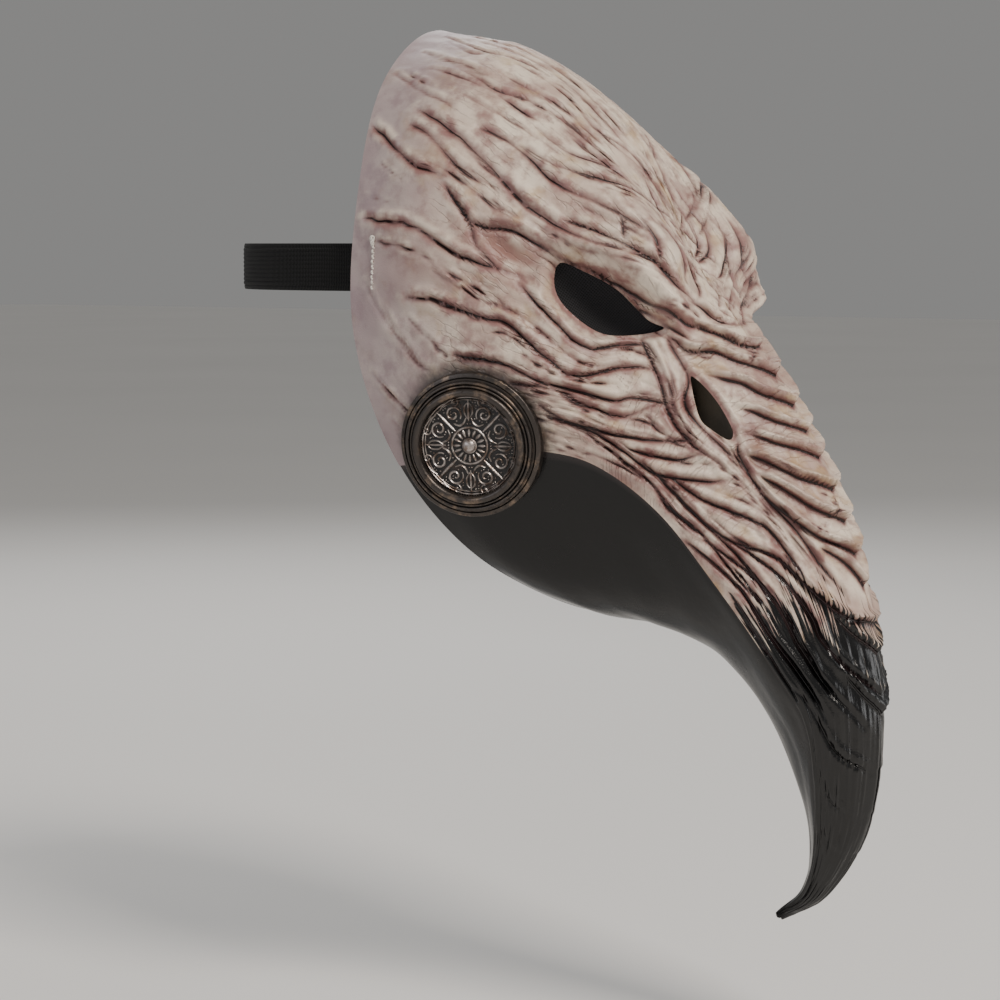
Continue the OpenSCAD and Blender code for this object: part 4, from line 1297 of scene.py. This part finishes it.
def black_ground(tree, where):
    """The sunk ground of the disc: matt black paint with rust-brown rubbed into it."""
    cloud = add(tree, "TexNoise", {"Vector": where, "Scale": per(4), "Detail": 5, "Roughness": 0.55})
    eased = add(tree, "MapRange", {"Value": cloud, "From Min": 0.48, "From Max": 0.70, "To Max": 0.6},
                **SOFT)
    base = add(tree, "Mix", {0: eased, 6: "#100F0F", 7: "#3A2A22"}, 2, **OVER)
    cloud = add(tree, "TexNoise", {"Vector": where, "Scale": per(1.1), "Detail": 4, "Roughness": 0.55})
    bump = add(tree, "Bump", {"Height": cloud, "Distance": 0.0004, "Strength": 0.7})
    return {"Base Color": base, "Roughness": 0.48, "Normal": bump, "IOR": 1.5}


def old_silver(tree, where):
    """Resin dry-brushed with silver paint: pale where it is rubbed, brown-black where it is not."""
    cloud = add(tree, "TexNoise", {"Vector": where, "Scale": per(3.5), "Detail": 5, "Roughness": 0.55})
    eased = add(tree, "MapRange", {"Value": cloud, "From Min": 0.42, "From Max": 0.66}, **SOFT)
    base = add(tree, "Mix", {0: eased, 6: "#B9B2AE", 7: "#7A6A60"}, 2, **OVER)
    cloud = add(tree, "TexNoise", {"Vector": where, "Scale": per(1.4), "Detail": 4, "Roughness": 0.55})
    eased = add(tree, "MapRange", {"Value": cloud, "From Min": 0.60, "From Max": 0.72, "To Max": 0.8},
                **SOFT)
    base = add(tree, "Mix", {0: eased, 6: base, 7: "#231C19"}, 2, **OVER)
    cloud = add(tree, "TexNoise", {"Vector": where, "Scale": per(0.7), "Detail": 3, "Roughness": 0.55})
    bump = add(tree, "Bump", {"Height": cloud, "Distance": 0.0002, "Strength": 0.5})
    return {"Base Color": base, "Metallic": 0.8, "Roughness": 0.34, "Normal": bump}


def mesh_cloth(tree, _):
    """Black net: fine woven threads, drawn 1.1 mm apart so that they show, a little paler than the near-black
    holes between them as a painted glint.
    """
    cloth = add(tree, "UVMap", {}, uv_map="cloth_uv")
    split = add(tree, "SeparateXYZ", {"Vector": cloth}, None)
    threads = []
    for axis in "XY":
        turn = add(tree, "Math", {0: split[axis], 1: 2 * math.pi * per(2.2)}, operation="MULTIPLY")
        amount = add(tree, "Math", {0: turn}, operation="SINE")
        threads.append(add(tree, "Math", {0: amount}, operation="ABSOLUTE"))
    thread = add(tree, "Math", {0: threads[0], 1: threads[1]}, operation="MAXIMUM")
    shown = add(tree, "MapRange", {"Value": thread, "From Min": 0.75, "From Max": 0.98}, **SOFT)
    # Threads paler than the holes: a painted glint on the black thread
    base = add(tree, "Mix", {0: shown, 6: "#020202", 7: "#1E1E22"}, 2, **OVER)
    bump = add(tree, "Bump", {"Height": thread, "Distance": 0.0003, "Strength": 0.8})
    return {"Base Color": base, "Roughness": 0.7, "Normal": bump, "Specular IOR Level": 0.3}


def hot_glue(tree, where):
    """A milky bead of hot glue: smooth, lumpy and slightly see-through."""
    cloud = add(tree, "TexNoise", {"Vector": where, "Scale": per(5), "Detail": 3.0, "Roughness": 0.55})
    base = add(tree, "Mix", {0: cloud, 6: "#C9C2AE", 7: "#E2DDCD"}, 2, **OVER)
    cloud = add(tree, "TexNoise", {"Vector": where, "Scale": per(3), "Detail": 3.0, "Roughness": 0.55})
    bump = add(tree, "Bump", {"Height": cloud, "Distance": 0.0005, "Strength": 0.4})
    return {"Base Color": base, "Roughness": 0.22, "Transmission Weight": 0.25, "Normal": bump, "IOR": 1.48}


def ribbed_elastic(tree, _):
    """Knitted elastic: black yarn over rubber ribs, with loops 1 mm long across each rib."""
    band = add(tree, "UVMap", {}, uv_map="strap_uv")
    split = add(tree, "SeparateXYZ", {"Vector": band}, None)
    amount = add(tree, "Math", {0: split["X"], 1: 2 * math.pi * per(1.0)}, operation="MULTIPLY")
    loops = add(tree, "Math", {0: amount}, operation="SINE")
    amount = add(tree, "Math", {0: split["Y"], 1: 2 * math.pi * per(2.0)}, operation="MULTIPLY")
    ribs = add(tree, "Math", {0: amount}, operation="SINE")
    amount = add(tree, "Math", {0: loops, 1: 0.5}, operation="MULTIPLY")
    amount_2 = add(tree, "Math", {0: ribs, 1: 0.3}, operation="MULTIPLY")
    knit = add(tree, "Math", {0: amount, 1: amount_2}, operation="ADD")
    lint = add(tree, "TexNoise", {"Vector": band, "Scale": per(1.5), "Detail": 4, "Roughness": 0.55})
    eased = add(tree, "MapRange", {"Value": knit, "From Min": -0.4, "From Max": 0.7}, **SOFT)
    base = add(tree, "Mix", {0: eased, 6: "#030303", 7: "#111112"}, 2, **OVER)
    eased = add(tree, "MapRange", {"Value": lint, "From Min": 0.62, "From Max": 0.75, "To Max": 0.3}, **SOFT)
    base = add(tree, "Mix", {0: eased, 6: base, 7: "#4A4848"}, 2, **OVER)
    bump = add(tree, "Bump", {"Height": knit, "Distance": 0.0003, "Strength": 0.7})
    return {"Base Color": base, "Roughness": 0.8, "Normal": bump, "Sheen Weight": 0.05,
            "Specular IOR Level": 0.25}


def sewing_thread(tree, where):
    """White polyester thread: two plies, darker in the grooves between them, with a slight gloss."""
    plies = add(tree, "TexWave", {"Vector": where, "Scale": per(1.2), "Distortion": 2.0}, "Fac",
                bands_direction="DIAGONAL")
    base = add(tree, "Mix", {0: plies, 6: "#B9B2A8", 7: "#F0ECE4"}, 2, **OVER)
    bump = add(tree, "Bump", {"Height": plies, "Distance": 0.0003, "Strength": 0.6})
    return {"Base Color": base, "Roughness": 0.5, "Normal": bump, "Sheen Weight": 0.2}


def studio_floor(tree, where):
    """Pale matt card."""
    cloud = add(tree, "TexNoise", {"Vector": where, "Scale": per(900), "Detail": 2, "Roughness": 0.55})
    base = add(tree, "Mix", {0: cloud, 6: "#DEDCD9", 7: "#E6E4E1"}, 2, **OVER)
    return {"Base Color": base, "Roughness": 0.85}


def dress(piece, *materials):
    """Puts materials in a piece's slots. A second one goes on the lining."""
    for material in materials:
        piece.data.materials.append(material)
    if len(materials) > 1:
        marks = np.zeros(len(piece.data.vertices), np.float32)
        piece.data.attributes["lining"].data.foreach_get("value", marks)
        inside = [int(marks[list(face.vertices)].min() > 0.5) for face in piece.data.polygons]
        piece.data.polygons.foreach_set("material_index", inside)


# ---------------------------------------------------------------- assembly
def place(piece, body, slot, replaced):
    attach(piece, body)
    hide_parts(*replaced)


HIDE = material("cast_latex_washed_bone", latex_hide)
LINING = material("bare_latex_inside", latex_lining)
BLACK = material("cast_latex_black_lacquer", latex_black)
GUNMETAL = material("resin_gunmetal_paint", gunmetal_wear_and_highlight)
GROUND = material("resin_black_ground", black_ground)
SILVER = material("resin_dry_brushed_silver", old_silver)
NET = material("woven_black_net", mesh_cloth)
GLUE = material("hot_melt_glue", hot_glue)
ELASTIC = material("knitted_elastic_black", ribbed_elastic)
THREAD = material("polyester_thread_white", sewing_thread)

for piece in hides.values():
    dress(piece, HIDE, LINING)
    place(piece, "shell", "hide", ["face_shell"])

underside = jaw()
dress(underside, BLACK)
place(underside, "shell", "underside", ["jaw_shell"])

for side_name in SIDES:
    for make, look, slot, node in ((boss, GUNMETAL, "gunmetal", "medallion_boss_"),
                                   (bezel, GUNMETAL, "gunmetal", "medallion_bezel_"),
                                   (backing, GROUND, "backing", "medallion_backing_"),
                                   (scrollwork, SILVER, "old_silver", "medallion_filigree_"),
                                   (stud, SILVER, "old_silver", "medallion_stud_"),
                                   (glue_bead, GLUE, "glue", "eye_glue_bead_"),
                                   (thread_work, THREAD, "thread", "stitching_")):
        piece = make(side_name)
        dress(piece, look)
        place(piece, "shell", slot, [node + side_name])
    cloth, cut = eye_cloth(side_name)
    dress(cloth, NET)
    place(cloth, "shell", "mesh_cloth", ["eye_mesh_" + side_name])

band = strap()
dress(band, ELASTIC)
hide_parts("strap_band", "strap_end_right", "strap_end_left")
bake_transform(band)


# ---------------------------------------------------------------- floor, lights and camera
FLOOR_Z = cad_low[2] - 0.06
AIM = Vector((0, -0.017, -0.120))
bpy.ops.mesh.primitive_plane_add(size=24, location=(0, 0, FLOOR_Z))
floor = bpy.context.active_object
floor.name = "studio_floor"
dress(floor, material("studio_floor_card", studio_floor))


def soft_light(name, spot, size, watts, tint="#FFFFFF"):
    """A square studio light that faces the mask."""
    data = bpy.data.lights.new(name, "AREA")
    data.size = size
    data.energy = watts
    data.color = colour(tint)[:3]
    lamp = bpy.data.objects.new(name, data)
    lamp.location = spot
    lamp.rotation_euler = (AIM - Vector(spot)).to_track_quat("-Z", "Y").to_euler()
    bpy.context.scene.collection.objects.link(lamp)


soft_light("key", (-0.5, -1.5, 1.5), 0.6, 42, "#FFF6EC")
soft_light("side", (-2.0, 0.5, 0.6), 0.9, 8, "#F1F4FF")
soft_light("back", (1.3, 1.2, 1.1), 1.2, 16)
soft_light("front_fill", (1.0, -1.8, 0.0), 1.2, 12)
world = bpy.data.worlds.new("studio")
world.use_nodes = True
backdrop = world.node_tree.nodes["Background"]
backdrop.inputs["Color"].default_value = colour("#E9E8E6")
seen = add(world.node_tree, "LightPath", {}, "Is Camera Ray")
# The backdrop shows as pale as the far floor, so that no horizon is seen
shown = add(world.node_tree, "MapRange", {"Value": seen, "To Min": 0.40, "To Max": 0.30})
world.node_tree.links.new(shown, backdrop.inputs["Strength"])
bpy.context.scene.world = world

lens = bpy.data.cameras.new("camera")
lens.lens = 104.8
lens.sensor_width = 36
camera = bpy.data.objects.new("camera", lens)
camera.location = (-1.14303, -0.81738, 0.00228)
camera.rotation_euler = (AIM - camera.location).to_track_quat("-Z", "Y").to_euler()
bpy.context.scene.collection.objects.link(camera)
bpy.context.scene.camera = camera
